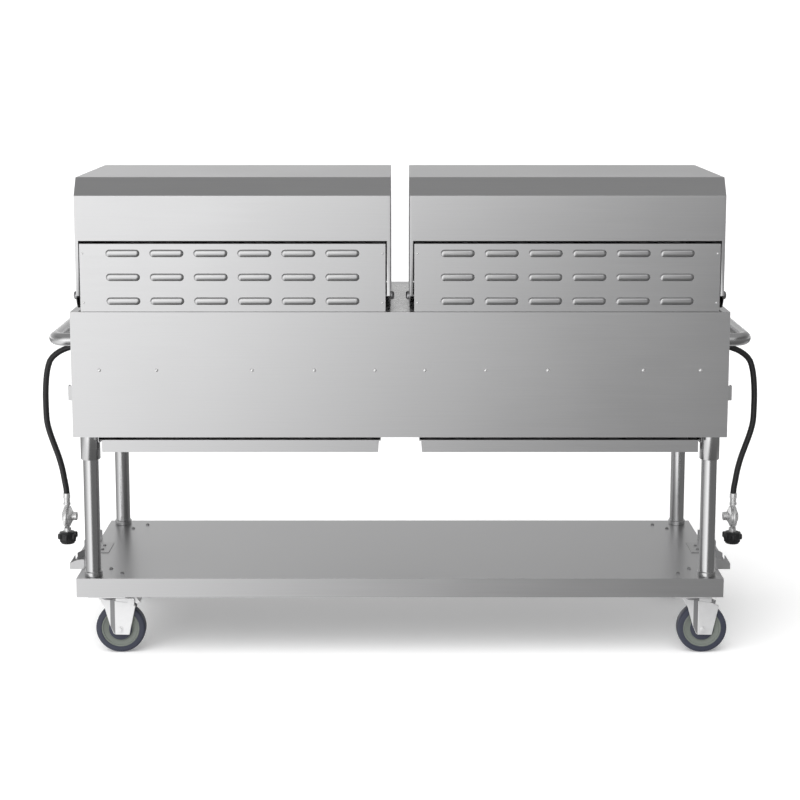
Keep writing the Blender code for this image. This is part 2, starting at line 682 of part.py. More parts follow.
def hoods():
    front = [(HOOD_DEPTH - FRONT_SLOPE_DEPTH, HOOD_TOP), (HOOD_DEPTH, HOOD_TOP - FRONT_SLOPE_DROP)]
    back = [(0, HOOD_TOP - CHAMFER_DROP), (CHAMFER_DEPTH, HOOD_TOP)]
    outer = prism([*back, *front, (HOOD_DEPTH, HOOD_BOTTOM), *hood_back_corner()[::-1]],
                  "x", HOOD_INNER_X, HOOD_OUTER_X)
    low = HOOD_BOTTOM - 0.02
    cavity = offset([(0, low), *back, *front, (HOOD_DEPTH, low)], SHEET)
    inner = prism(cavity, "x", HOOD_INNER_X + SHEET, HOOD_OUTER_X - SHEET)
    opening = box((HOOD_INNER_X + HOOD_FLANGE, HOOD_OUTER_X - HOOD_FLANGE), (-0.01, 0.01),
                  (low, LOUVER_TOP + SKIRT_GAP))
    pivots = cylinder(STUD_RADIUS + 0.0005, HOOD_INNER_X - 0.01, HOOD_OUTER_X + 0.01,
                      (0, y_of(PIVOT_DEPTH), PIVOT_Z), "x", 12)
    mesh = combined(outer, cut=[inner, opening, pivots])
    grip = hood_grip()
    for side, hood, handle in (("left", mirrored(mesh), mirrored(grip)), ("right", mesh, grip)):
        pivot = Vector(((-1 if side == "left" else 1) * HOOD_MIDDLE_X, y_of(PIVOT_DEPTH), PIVOT_Z))
        frame = joint_frame(f"hood_pivot_{side}", pivot)
        add_node(f"hood_{side}", hood, "stainless", pivot, frame)
        add_node(f"hood_handle_{side}", handle, "stainless_tube", pivot, frame)


def hood_grip():
    """A round bar on two bent arms, screwed to the hood's front."""
    z = TOP + HOOD_GRIP_HEIGHT
    half = HOOD_GRIP_LENGTH / 2
    base = HOOD_DEPTH + GAP
    reach = HOOD_DEPTH + HOOD_GRIP_REACH
    path = [(HOOD_MIDDLE_X - half, y_of(base), z), (HOOD_MIDDLE_X - half, y_of(reach), z),
            (HOOD_MIDDLE_X + half, y_of(reach), z), (HOOD_MIDDLE_X + half, y_of(base), z)]
    bar = swept(rounded(path, 0.025, 3), HOOD_GRIP_RADIUS, 8)
    feet = [cylinder(0.018, -base - 0.003, -base, (HOOD_MIDDLE_X + side * half, REAR_Y, z), "y", 10)
            for side in (-1, 1)]
    return combined(bar, add=feet)


# Push handles, trays, shelf and legs

def push_handles():
    outer = HALF + PUSH_REACH
    rear, front = PUSH_DEPTHS
    path = [(HALF + GAP, y_of(rear), PUSH_Z), (outer, y_of(rear), PUSH_Z),
            (outer, y_of(front), PUSH_Z), (HALF + GAP, y_of(front), PUSH_Z)]
    bar = swept(rounded(path, PUSH_BEND, 4), PUSH_RADIUS, 8)
    flanges = [cylinder(PUSH_FLANGE_RADIUS, HALF + GAP, HALF + GAP + PUSH_FLANGE,
                        (0, y_of(depth), PUSH_Z), "x", 12) for depth in PUSH_DEPTHS]
    add_pair("push_handle", combined(bar, add=flanges), "stainless_tube")


def drip_trays():
    x = (TRAY_INNER_X, TRAY_OUTER_X)
    depth = (TRAY_REAR, TRAY_REAR + TRAY_DEPTH)
    z = (TRAY_TOP - TRAY_HEIGHT, TRAY_TOP)
    tray = box(x, depth, z)
    flanges = box((x[0] - TRAY_FLANGE, x[1] + TRAY_FLANGE), (depth[0] + 0.002, depth[1] - 0.002),
                  (z[1] - SHEET, z[1]))
    pull = prism(folded([(depth[1] - SHEET, z[1]), (depth[1] + TRAY_PULL, z[1]),
                         (depth[1] + TRAY_PULL, z[1] - 0.012)]), "x", *x)
    inside = box((x[0] + SHEET, x[1] - SHEET), (depth[0] + SHEET, depth[1] - SHEET),
                 (z[0] + SHEET, z[1] + 0.01))
    mesh = combined(tray, add=[flanges, pull], cut=[inside])
    middle = sum(x) / 2
    add_node("drip_tray_left", mirrored(mesh), "stainless", (-middle, y_of(depth[1]), z[1]))
    add_node("drip_tray_right", mesh, "stainless", (middle, y_of(depth[1]), z[1]))


def undershelf():
    shell = box((-SHELF_HALF, SHELF_HALF), (0, SHELF_DEPTH), (SHELF_BOTTOM, SHELF_TOP))
    inside = box((SHEET - SHELF_HALF, SHELF_HALF - SHEET), (SHEET, SHELF_DEPTH - SHEET),
                 (SHELF_BOTTOM - 0.01, SHELF_TOP - SHEET))
    bolts = []
    for side in (-1, 1):
        for end, depth in CASTER_DEPTHS.items():
            way = 1 if end == "rear" else -1
            for x, forward in ((CASTER_X, 0.034), (CASTER_X - 0.034, -0.004)):
                bolts.append(turned([(SHELF_BOLT, -SHEET / 2), (SHELF_BOLT * 0.7, 0.003)],
                                    (side * x, y_of(depth + way * forward), SHELF_TOP), "z", 6))
    add_node("undershelf", combined(shell, add=[merged(bolts)], cut=[inside]), "stainless")


def legs():
    inner = LEG_RADIUS - LEG_WALL
    low = SHELF_TOP + GAP
    high = BOTTOM - 0.004
    profile = [(COLLAR_RADIUS, low), (COLLAR_RADIUS, low + COLLAR_HEIGHT * 0.75),
               (LEG_RADIUS, low + COLLAR_HEIGHT), (LEG_RADIUS, high), (inner, high), (inner, low + 0.004),
               (0, low + 0.004)]
    for side, sign in (("left", -1), ("right", 1)):
        for end, depth in LEG_DEPTHS.items():
            mesh = turned(profile, (sign * LEG_X, y_of(depth), 0), "z", 12)
            add_node(f"leg_{end}_{side}", mesh, "stainless_tube")


def tank_brackets():
    """Plates bolted to the shelf's ends, with low walls that hold a gas cylinder's foot ring."""
    x = (SHELF_HALF - BRACKET_INBOARD, SHELF_HALF + BRACKET_REACH)
    rear, front = BRACKET_DEPTHS
    low = SHELF_TOP + GAP
    floor = box(x, (rear, front), (low, low + SHEET))
    half = BRACKET_TAB_WIDTH / 2
    tongue = box((SHELF_HALF - BRACKET_TAB_REACH, x[0] + 0.004),
                 (BRACKET_TAB_DEPTH - half, BRACKET_TAB_DEPTH + half), (low, low + SHEET))
    curve = [(x[1] - (x[1] - x[0]) * k / 5, low + BRACKET_OUTER_WALL
              + (BRACKET_INNER_WALL - BRACKET_OUTER_WALL) * math.sin(math.pi / 2 * min(1, k / 4)))
             for k in range(6)]
    end_outline = [(x[0], low), (x[1], low), *curve]
    walls = [tongue]
    for start, way in ((rear, 1), (front, -1)):
        walls.append(prism(end_outline, "depth", start, start + way * SHEET))
        walls.append(box((x[1] - SHEET, x[1]), (start, start + way * BRACKET_WALL_RUN),
                         (low, low + BRACKET_OUTER_WALL)))
        near, far = start + way * (BRACKET_WALL_RUN + 0.012), start + way * (BRACKET_WALL_RUN + 0.043)
        tab = [(x[1] - 0.004, near), (x[1] - 0.016, far), (x[1] - 0.0175, far), (x[1] - 0.0055, near)]
        walls.append(prism(tab, "z", low + SHEET / 2, low + BRACKET_HOOK))
    screws = [turned([(0.004, 0.0005), (0.004, 0.0035), (0.0025, 0.0042)],
                     (SHELF_HALF - 0.0235, y_of(BRACKET_TAB_DEPTH + way * 0.0175), low), "z", 8)
              for way in (-1, 1)]
    add_pair("tank_bracket", combined(floor, add=[*walls, merged(screws)]), "stainless")


# Casters

def caster_rails():
    """A channel under each end of the shelf, with the two casters' plates and kingpins."""
    half = PLATE_SIDE / 2
    low = CASTER_HEIGHT + GAP
    high = SHELF_TOP - SHEET - GAP
    path = [(CASTER_X - half, high), (CASTER_X - half, low), (CASTER_X + half, low), (CASTER_X + half, high)]
    channel = prism([Vector(p) for p in path] + offset(path, -0.002)[::-1], "depth", 0.004, SHELF_DEPTH - 0.004)
    pieces = []
    for depth in CASTER_DEPTHS.values():
        plate = (max(0.0035, depth - half), min(SHELF_DEPTH - 0.0035, depth + half))
        pieces.append(box((CASTER_X - half, CASTER_X + half), plate,
                          (CASTER_HEIGHT - PLATE_THICK, low + 0.001)))
        pieces.append(cylinder(KINGPIN_RADIUS, fork_crown_z()[0] + 0.001, CASTER_HEIGHT,
                               (CASTER_X, y_of(depth), 0), "z", 12))
    add_pair("caster_rail", combined(channel, add=pieces), "zinc")


def fork_crown_z():
    """Underside and top of the fork's crown, below the swivel race."""
    top = CASTER_HEIGHT - PLATE_THICK - GAP - RACE_HEIGHT
    return top - 0.009, top


def fork_leg_outline(axle_x, top):
    """One leg of a fork, narrower at the axle and leaning towards the kingpin."""
    return [(axle_x + TRAIL + 0.0225, top), (axle_x + TRAIL + 0.010, AXLE_Z + WHEEL_RADIUS - 0.0055),
            (axle_x + 0.025, AXLE_Z + 0.010), (axle_x + 0.0155, AXLE_Z - 0.0125),
            (axle_x - 0.026, AXLE_Z - 0.0145), (axle_x - 0.041, AXLE_Z + WHEEL_RADIUS - 0.0015),
            (axle_x - 0.0215, AXLE_Z + WHEEL_RADIUS + 0.0075), (axle_x - 0.0215, top)]


def fork_mesh(kingpin_x, depth):
    axle_x = kingpin_x - TRAIL
    crown = fork_crown_z()
    room = WHEEL_WIDTH / 2 + FORK_ROOM
    outer = room + FORK_PLATE
    legs_of_fork = [prism(fork_leg_outline(axle_x, crown[1]), "depth", depth + side * room, depth + side * outer)
                    for side in (-1, 1)]
    block = box((axle_x - 0.0215, kingpin_x + 0.0225), (depth - outer, depth + outer), crown)
    race = cylinder(RACE_RADIUS, crown[1] - 0.001, crown[1] + RACE_HEIGHT, (kingpin_x, y_of(depth), 0), "z", 12)
    axle = turned([(0.010, -outer - 0.004), (0.010, -outer + 0.001), (AXLE_RADIUS, -outer + 0.001),
                   (AXLE_RADIUS, outer - 0.001), (0.010, outer - 0.001), (0.010, outer + 0.004)],
                  (axle_x, y_of(depth), AXLE_Z), "y", 8)
    bore = cylinder(KINGPIN_RADIUS + RUNNING_FIT, crown[0] - 0.01, crown[1] + RACE_HEIGHT + 0.01,
                    (kingpin_x, y_of(depth), 0), "z", 12)
    return combined(block, add=[*legs_of_fork, race, axle], cut=[bore])


def wheel_mesh(axle_x, depth):
    """Tyre, web and hub, with a bore that runs on the axle."""
    half = WHEEL_WIDTH / 2
    bore = AXLE_RADIUS + RUNNING_FIT
    profile = [(bore, half + 0.002), (HUB_RADIUS - 0.005, half - 0.007), (HUB_RADIUS + 0.003, half),
               (WHEEL_RADIUS, half - 0.008)]
    profile += [(radius, -height) for radius, height in profile[::-1]]
    return turned(profile, (axle_x, y_of(depth), AXLE_Z), "y", WHEEL_SIDES, ring=True)


def pedal_mesh(axle_x, depth):
    """A foot lever over the wheel, on the fork's cross pin."""
    x, z = pedal_pivot(axle_x)
    half = PEDAL_WIDTH / 2
    path = [(x + 0.004, z + 0.0055), (x - 0.010, z + 0.0055), (x - 0.018, z - 0.006)]
    lever = prism(folded(path[::-1], 0.003), "depth", depth - half, depth + half)
    hub = cylinder(0.0075, -half + 0.004, half - 0.004, (x, y_of(depth), z), "y", 12)
    bore = cylinder(0.003 + RUNNING_FIT, -half - 0.01, half + 0.01, (x, y_of(depth), z), "y", 12)
    return combined(lever, add=[hub], cut=[bore])


def pedal_pivot(axle_x):
    return axle_x - 0.0310, AXLE_Z + WHEEL_RADIUS + 0.012


def casters():
    """Four swivel casters; the two at the right end have brake pedals."""
    for side, sign in (("left", -1), ("right", 1)):
        for end, depth in CASTER_DEPTHS.items():
            kingpin_x = sign * CASTER_X
            axle_x = kingpin_x - TRAIL
            swivel = Vector((kingpin_x, y_of(depth), fork_crown_z()[1]))
            axle = Vector((axle_x, y_of(depth), AXLE_Z))
            frame = joint_frame(f"swivel_{end}_{side}", swivel)
            fork = fork_mesh(kingpin_x, depth)
            if side == "right":
                x, z = pedal_pivot(axle_x)
                room = WHEEL_WIDTH / 2 + FORK_ROOM + 0.001
                lugs = [box((x - 0.006, x + 0.012),
                            (depth + way * (room - 0.001), depth + way * (room + FORK_PLATE - 0.001)),
                            (z - 0.012, z + 0.0055)) for way in (-1, 1)]
                pin = cylinder(0.003, -room - 0.001, room + 0.001, (x, y_of(depth), z), "y", 12)
                fork = combined(fork, add=[*lugs, pin])
                pedal = pedal_mesh(axle_x, depth)
                add_node(f"brake_pedal_{end}", pedal, "zinc", (x, y_of(depth), z), frame)
            add_node(f"caster_fork_{end}_{side}", fork, "zinc", swivel, frame)
            add_node(f"caster_wheel_{end}_{side}", wheel_mesh(axle_x, depth), "tyre", axle, frame)


# Hoses

def smooth_through(points, samples):
    """Evenly spaced points on a smooth curve through the given ones."""
    points = [Vector(p) for p in points]
    padded = [2 * points[0] - points[1], *points, 2 * points[-1] - points[-2]]
    fine = []
    for a, b, c, d in zip(padded, padded[1:], padded[2:], padded[3:]):
        for k in range(16):
            t = k / 16
            fine.append(0.5 * (2 * b + (c - a) * t + (2 * a - 5 * b + 4 * c - d) * t ** 2
                               + (3 * b - a - 3 * c + d) * t ** 3))
    fine.append(points[-1])
    run = [0.0]
    for before, after in zip(fine, fine[1:]):
        run.append(run[-1] + (after - before).length)
    spaced = []
    for k in range(samples):
        want = run[-1] * k / (samples - 1)
        i = max(1, next((n for n, r in enumerate(run) if r >= want - 1e-9), len(run) - 1))
        share = (want - run[i - 1]) / (run[i] - run[i - 1])
        spaced.append(fine[i - 1].lerp(fine[i], share))
    return spaced


def hoses():
    for side, sign in (("left", -1), ("right", 1)):
        route = [(sign * (HALF + out), y_of(INLET_DEPTH), BURNER_Z + up) for out, up in HOSE_ROUTE]
        points = smooth_through(route, HOSE_SAMPLES)
        curve = bpy.data.curves.new(f"gas_hose_{side}", "CURVE")
        curve.dimensions = "3D"
        spline = curve.splines.new("POLY")
        spline.points.add(len(points) - 1)
        for target, point in zip(spline.points, points):
            target.co = (*point, 1.0)
        curve.bevel_depth = HOSE_RADIUS
        curve.bevel_resolution = 2
        curve.use_fill_caps = True
        curve.materials.append(finish_material("hose_rubber"))
        hose = bpy.data.objects.new(f"gas_hose_{side}", curve)
        bpy.context.collection.objects.link(hose)


def hose_end():
    """x and z of the right hose's lower end."""
    out, up = HOSE_ROUTE[-1]
    return HALF + out, BURNER_Z + up


def regulators():
    """A low-pressure regulator: ferrule, round diaphragm housing, vent cap and inlet stem."""
    x, top = hose_end()
    y = y_of(INLET_DEPTH)
    start = top - GAP
    spine = turned([(0.0085, start), (0.0085, start - 0.0135), (0.006, start - 0.0145), (0.006, start - 0.085),
                    (0.0085, start - 0.0855), (0.0085, start - 0.0915), (STEM_RADIUS + 0.001, start - 0.0915),
                    (STEM_RADIUS + 0.001, start - 0.102)], (x, y, 0), "z", 8)
    middle = start - 0.050
    housing = turned([(0.014, 0.013), (REGULATOR_RADIUS - 0.006, 0.008), (REGULATOR_RADIUS, 0.003),
                      (REGULATOR_RADIUS, -0.003), (REGULATOR_RADIUS - 0.006, -0.008), (0.016, -0.014),
                      (0.013, -0.024)], (x, y, middle), "x", 12)
    add_pair("regulator", combined(spine, add=[housing]), "zinc")


def hose_nuts():
    """The hand nut that screws onto the gas cylinder; it turns on the regulator's stem."""
    x, top = hose_end()
    y = y_of(INLET_DEPTH)
    high = top - 2 * GAP - 0.0915
    low = high - NUT_HEIGHT
    bore = STEM_RADIUS + 0.001 + RUNNING_FIT
    shell = turned([(bore, high), (NUT_RADIUS - 0.003, high), (NUT_RADIUS, high - 0.003), (NUT_RADIUS, low + 0.005),
                    (NUT_RADIUS - 0.004, low), (0.0155, low), (0.0155, low + 0.018), (bore, low + 0.018)],
                   (x, y, 0), "z", 10, ring=True)
    wings = []
    for k in range(6):
        angle = math.tau * (k + 0.5) / 6
        centre = (x + (NUT_WING_RADIUS - 0.006) * math.cos(angle), y + (NUT_WING_RADIUS - 0.006) * math.sin(angle), 0)
        wings.append(cylinder(0.006, high - 0.0175, high - 0.0035, centre, "z", 6))
    mesh = combined(shell, add=[merged(wings)])
    add_node("hose_nut_left", mirrored(mesh), "knob_black", (-x, y, high))
    add_node("hose_nut_right", mesh, "knob_black", (x, y, high))


def build():
    clear_scene()
    rear_panel()
    control_panel()
    end_panels()
    center_bridge()
    fireboxes()
    burner_pairs()
    radiants()
    grates()
    manifolds()
    knobs()
    louver_panels()
    hoods()
    push_handles()
    drip_trays()
    undershelf()
    legs()
    tank_brackets()
    caster_rails()
    casters()
    hoses()
    regulators()
    hose_nuts()


build()
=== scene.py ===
"""Looks of a mobile gas grill with two hoods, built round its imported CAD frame.

Metres, +Z up, the operator at -Y, so left is -X and right is +X. A depth is measured forwards
(towards -Y) from the back of the rear panel.
"""

import math

import bmesh
import bpy
from mathutils import Matrix, Quaternion, Vector


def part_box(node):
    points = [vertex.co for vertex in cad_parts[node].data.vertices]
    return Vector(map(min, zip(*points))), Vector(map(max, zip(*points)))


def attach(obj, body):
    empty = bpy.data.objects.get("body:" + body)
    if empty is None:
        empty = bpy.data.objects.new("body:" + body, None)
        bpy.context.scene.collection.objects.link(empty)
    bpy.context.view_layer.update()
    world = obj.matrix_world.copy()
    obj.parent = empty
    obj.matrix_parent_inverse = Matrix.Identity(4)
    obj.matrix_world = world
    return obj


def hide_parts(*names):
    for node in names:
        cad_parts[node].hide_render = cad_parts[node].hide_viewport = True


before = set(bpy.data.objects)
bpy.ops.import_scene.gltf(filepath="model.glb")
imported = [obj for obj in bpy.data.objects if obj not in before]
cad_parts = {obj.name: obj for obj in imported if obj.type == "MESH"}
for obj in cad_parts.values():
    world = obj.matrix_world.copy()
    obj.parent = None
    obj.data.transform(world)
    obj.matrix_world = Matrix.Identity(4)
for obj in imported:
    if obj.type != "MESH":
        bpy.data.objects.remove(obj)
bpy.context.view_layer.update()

# Places and sizes shared with the CAD, x measured from the middle
SIDES = (("left", -1), ("right", 1))
ENDS = ("rear", "front")
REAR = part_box("undershelf")[1][1]
SHELF_TOP = 0.203
BOTTOM, TOP = 0.563, 0.875  # the body's edges
HALF = 0.805  # half the body's length
BODY_DEPTH = 0.547
SHEET = 0.0015
GAP = 0.0003
HOOD_X = (0.0235, 0.788)
HOOD_Z = (0.881, 1.2017)
HOOD_DEPTH = 0.541
HOOD_CHAMFER = (0.031, 1.159)  # depth of its upper edge, height of its lower edge
HOOD_SLOPE = (0.458, 1.0517)  # the front's: depth of its upper edge, height of its lower edge
HOOD_FRONT_LAP = 0.004  # the front reaches below the ends, so no light shows under it
SKIRT_Z = 1.0495  # lower edge of the hood's back
PIVOT = (0.022, 0.9136)  # depth and height
LOUVER_X = (0.0345, 0.7785)
LOUVER_Z = (0.8753, 1.0445)
LOUVER_HALF = (0.0410, 0.0088)  # half length and half height of one louvre
LOUVER_STEP = (0.1066, 0.0585)  # from column to column and from row to row
LOUVER_FIRST = LOUVER_Z[1] - 0.0255  # height of the upper row
BURNER_XS = (0.14664, 0.32155, 0.49645, 0.67136)
BURNER_Z = 0.749
LEG_RADIUS, LEG_BORE = 0.01905, 0.0174
LEG_X, LEG_DEPTHS = 0.768, {"rear": 0.030, "front": 0.500}
CASTER_X, CASTER_DEPTHS = 0.733, {"rear": 0.048, "front": 0.482}
TRAIL = 0.0285  # from the kingpin to the axle
PLATE_BOTTOM = 0.152
AXLE_RADIUS = 0.006
CAD_WHEEL_RADIUS, CAD_WHEEL_FLATS = 0.0635, 20
AXLE_Z = (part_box("caster_wheel_rear_left")[0][2]
          + CAD_WHEEL_RADIUS * math.cos(math.pi / CAD_WHEEL_FLATS))
WHEEL_RADIUS = AXLE_Z - 0.0001  # round, and just clear of the floor the CAD's flats stand on
WHEEL_HALF = 0.016
HOSE_Y = REAR - 0.2575
HOSE_RADIUS = 0.0077


def y_of(depth):
    return REAR - depth


# Materials

GRAIN_SHARE = 0.6  # of the fine grain in roughness and colour; the rest is blotches
NOISE_LOW, NOISE_HIGH = 0.3, 0.7  # the noise values that span a material's range


def material(name, colour, metallic=0.0, rough=0.5, spread=0.1, scale=(60, 60, 60), bump=0.1,
             tint=0.06, blotch=5.0, depth=0.0002):
    """A surface with fine grain in its height, and both grain and slow blotches in its
    roughness and colour. The scale is the grain's along x, y and z."""
    mat = bpy.data.materials.new(name)
    mat.use_nodes = True
    nodes, links = mat.node_tree.nodes, mat.node_tree.links
    shader = nodes["Principled BSDF"]
    shader.inputs["Metallic"].default_value = metallic
    place = nodes.new("ShaderNodeTexCoord")
    stretch = nodes.new("ShaderNodeMapping")
    stretch.inputs["Scale"].default_value = scale
    links.new(place.outputs["Object"], stretch.inputs["Vector"])
    grain = nodes.new("ShaderNodeTexNoise")
    grain.inputs["Scale"].default_value = 1.0
    grain.inputs["Detail"].default_value = 4.0
    links.new(stretch.outputs["Vector"], grain.inputs["Vector"])
    slow = nodes.new("ShaderNodeTexNoise")
    slow.inputs["Scale"].default_value = blotch
    slow.inputs["Detail"].default_value = 3.0
    links.new(place.outputs["Object"], slow.inputs["Vector"])
    both = nodes.new("ShaderNodeMath")
    both.operation = "MULTIPLY_ADD"
    links.new(grain.outputs["Fac"], both.inputs[0])
    both.inputs[1].default_value = GRAIN_SHARE
    fade = nodes.new("ShaderNodeMath")
    fade.operation = "MULTIPLY"
    fade.inputs[1].default_value = 1 - GRAIN_SHARE
    links.new(slow.outputs["Fac"], fade.inputs[0])
    links.new(fade.outputs[0], both.inputs[2])
    span = nodes.new("ShaderNodeMapRange")
    span.inputs["From Min"].default_value = NOISE_LOW
    span.inputs["From Max"].default_value = NOISE_HIGH
    span.inputs["To Min"].default_value = rough - spread / 2
    span.inputs["To Max"].default_value = rough + spread / 2
    links.new(both.outputs[0], span.inputs["Value"])
    links.new(span.outputs["Result"], shader.inputs["Roughness"])
    ramp = nodes.new("ShaderNodeValToRGB")
    ramp.color_ramp.elements[0].position = NOISE_LOW
    ramp.color_ramp.elements[1].position = NOISE_HIGH
    ramp.color_ramp.elements[0].color = (*[c * (1 - tint) for c in colour], 1)
    ramp.color_ramp.elements[1].color = (*[min(1.0, c * (1 + tint)) for c in colour], 1)
    links.new(both.outputs[0], ramp.inputs["Fac"])
    links.new(ramp.outputs["Color"], shader.inputs["Base Color"])
    if bump:
        raised = nodes.new("ShaderNodeBump")
        raised.inputs["Strength"].default_value = bump
        raised.inputs["Distance"].default_value = depth
        links.new(grain.outputs["Fac"], raised.inputs["Height"])
        links.new(raised.outputs["Normal"], shader.inputs["Normal"])
    return mat


BRUSHED = material("brushed_sheet", (0.63, 0.63, 0.635), metallic=1.0, rough=0.31, spread=0.07,
                   scale=(7, 700, 700), bump=0.06, tint=0.03, blotch=3.0, depth=0.00004)
BRUSHED_DEPTH = material("brushed_sheet_deep", (0.60, 0.60, 0.605), metallic=1.0, rough=0.33,
                         spread=0.07, scale=(700, 7, 700), bump=0.06, tint=0.03, blotch=3.0,
                         depth=0.00004)
TUBE = material("satin_tube", (0.64, 0.64, 0.645), metallic=1.0, rough=0.24, spread=0.07,
                scale=(500, 500, 9), bump=0.04, tint=0.03, blotch=6.0, depth=0.00003)
BAR = material("satin_bar", (0.66, 0.66, 0.665), metallic=1.0, rough=0.24, spread=0.07,
               scale=(300, 14, 300), bump=0.04, tint=0.03, blotch=6.0, depth=0.00003)
INSIDE = material("heat_tinted_sheet", (0.50, 0.48, 0.45), metallic=1.0, rough=0.38, spread=0.16,
                  scale=(40, 40, 160), bump=0.08, tint=0.10, blotch=9.0, depth=0.00008)
BURNER = material("burner_steel", (0.42, 0.40, 0.37), metallic=1.0, rough=0.42, spread=0.16,
                  scale=(60, 220, 220), bump=0.10, tint=0.14, blotch=14.0, depth=0.00008)
ZINC = material("bright_zinc", (0.83, 0.83, 0.835), metallic=0.55, rough=0.33, spread=0.12,
                scale=(90, 90, 90), bump=0.05, tint=0.03, blotch=22.0, depth=0.00005)
ZINC_DARK = material("zinc_race", (0.45, 0.45, 0.46), metallic=0.9, rough=0.36, spread=0.12,
                     scale=(120, 120, 120), bump=0.06, tint=0.06, blotch=30.0, depth=0.00005)
# Darker zinc for a strip along each fork leg: painted shade, standing in for the shade in the fold
# beside the rib
PAINTED_SHADE_ZINC = material("zinc_painted_shade", (0.27, 0.27, 0.275), metallic=0.55, rough=0.36, spread=0.12,
                scale=(90, 90, 90), bump=0.05, tint=0.03, blotch=22.0, depth=0.00005)
BOLT = material("bolt_steel", (0.42, 0.42, 0.43), metallic=1.0, rough=0.30, spread=0.14,
                scale=(260, 260, 260), bump=0.08, tint=0.08, blotch=60.0, depth=0.00004)
IRON = material("seasoned_iron", (0.035, 0.034, 0.033), metallic=0.25, rough=0.55, spread=0.25,
                scale=(240, 240, 240), bump=0.45, tint=0.25, blotch=40.0, depth=0.00025)
TYRE = material("tyre_polyurethane", (0.036, 0.040, 0.062), metallic=0.0, rough=0.46, spread=0.16,
                scale=(420, 420, 420), bump=0.18, tint=0.10, blotch=30.0, depth=0.0001)
HUB = material("hub_plastic", (0.165, 0.182, 0.163), metallic=0.0, rough=0.42, spread=0.12,
               scale=(300, 300, 300), bump=0.10, tint=0.05, blotch=24.0, depth=0.00006)
BLACK = material("black_plastic", (0.016, 0.016, 0.017), metallic=0.0, rough=0.36, spread=0.16,
                 scale=(700, 700, 700), bump=0.20, tint=0.10, blotch=40.0, depth=0.0001)
RUBBER = material("hose_rubber", (0.014, 0.014, 0.015), metallic=0.0, rough=0.44, spread=0.14,
                  scale=(900, 900, 420), bump=0.25, tint=0.12, blotch=20.0, depth=0.00012)
ALLOY = material("regulator_alloy", (0.80, 0.80, 0.80), metallic=0.75, rough=0.28, spread=0.14,
                 scale=(160, 160, 160), bump=0.12, tint=0.05, blotch=40.0, depth=0.00008)
BRASS = material("brass", (0.70, 0.50, 0.22), metallic=1.0, rough=0.28, spread=0.12,
                 scale=(200, 200, 200), bump=0.06, tint=0.05, blotch=30.0, depth=0.00005)
MARK = material("white_mark", (0.75, 0.75, 0.74), metallic=0.0, rough=0.5, spread=0.10,
                scale=(500, 500, 500), bump=0.05, tint=0.03, blotch=30.0)


# Shapes

def piece(name, bm, mat, body, replaces=(), angle=32, bevel=0.0, steps=2, even=False, thick=0.0):
    """The mesh as a named piece that rides on a body. An edge sharper than the angle stays crisp.
    Thick gives a skin its wall, and even keeps large flat faces flat beside small ones."""
    bmesh.ops.recalc_face_normals(bm, faces=bm.faces)
    mesh = bpy.data.meshes.new(name)
    bm.to_mesh(mesh)
    bm.free()
    mesh.shade_smooth()
    mesh.set_sharp_from_angle(angle=math.radians(angle))
    mesh.materials.append(mat)
    obj = bpy.data.objects.new(name, mesh)
    bpy.context.collection.objects.link(obj)
    if bevel:
        rounded_edges(obj, bevel, steps)
    if thick:
        wall = obj.modifiers.new("sheet", "SOLIDIFY")
        wall.thickness = thick
        wall.offset = -1.0
        wall.use_even_offset = True
    if even:
        normals = obj.modifiers.new("normals", "WEIGHTED_NORMAL")
        normals.keep_sharp = True
    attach(obj, body)
    if replaces:
        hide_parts(*replaces)
    return obj


def rounded_edges(obj, width, steps=2, angle=28):
    mod = obj.modifiers.new("edges", "BEVEL")
    mod.width = width
    mod.segments = steps
    mod.limit_method = "ANGLE"
    mod.angle_limit = math.radians(angle)
    mod.use_clamp_overlap = True


def join(target, *others):
    """Adds the other meshes to the first."""
    for other in others:
        spare = bpy.data.meshes.new("spare")
        other.to_mesh(spare)
        other.free()
        target.from_mesh(spare)
        bpy.data.meshes.remove(spare)
    return target


def mirrored(bm):
    bmesh.ops.scale(bm, vec=(-1, 1, 1), verts=bm.verts)
    bmesh.ops.reverse_faces(bm, faces=bm.faces)
    return bm


def sided(bm, sign):
    """The mesh as built for the right, or its mirror image for the left."""
    return mirrored(bm) if sign < 0 else bm


def turned(profile, centre, axis="z", sides=64, closed=False):
    """Revolves (radius, height) points about an axis through the centre."""
    bm = bmesh.new()
    spot = Vector(centre)
    along = {"x": Vector((1, 0, 0)), "y": Vector((0, 1, 0)), "z": Vector((0, 0, 1))}[axis]
    one = {"x": Vector((0, 1, 0)), "y": Vector((0, 0, 1)), "z": Vector((1, 0, 0))}[axis]
    two = along.cross(one)
    rings = []
    for radius, height in profile:
        if radius < 1e-6:
            rings.append([bm.verts.new(spot + along * height)])
            continue
        middle = spot + along * height
        rings.append([bm.verts.new(middle + (one * math.cos(math.tau * k / sides)
                                             + two * math.sin(math.tau * k / sides)) * radius)
                      for k in range(sides)])
    pairs = list(zip(rings, rings[1:])) + ([(rings[-1], rings[0])] if closed else [])
    for a, b in pairs:
        for k in range(sides):
            n = (k + 1) % sides
            quad = [a[k % len(a)], a[n % len(a)], b[n % len(b)], b[k % len(b)]]
            quad = list(dict.fromkeys(quad))
            if len(quad) > 2:
                bm.faces.new(quad)
    if not closed:
        for ring in (rings[0], rings[-1]):
            if len(ring) > 1:
                bm.faces.new(ring)
    return bm


def arc(centre, radius, start, end, steps=5):
    """Points of an arc in a profile, with angles in degrees."""
    return [(centre[0] + radius * math.cos(math.radians(start + (end - start) * k / steps)),
             centre[1] + radius * math.sin(math.radians(start + (end - start) * k / steps)))
            for k in range(steps + 1)]


def raised(profile, height):
    """A profile moved along its axis."""
    return [(r, height + h) for r, h in profile]


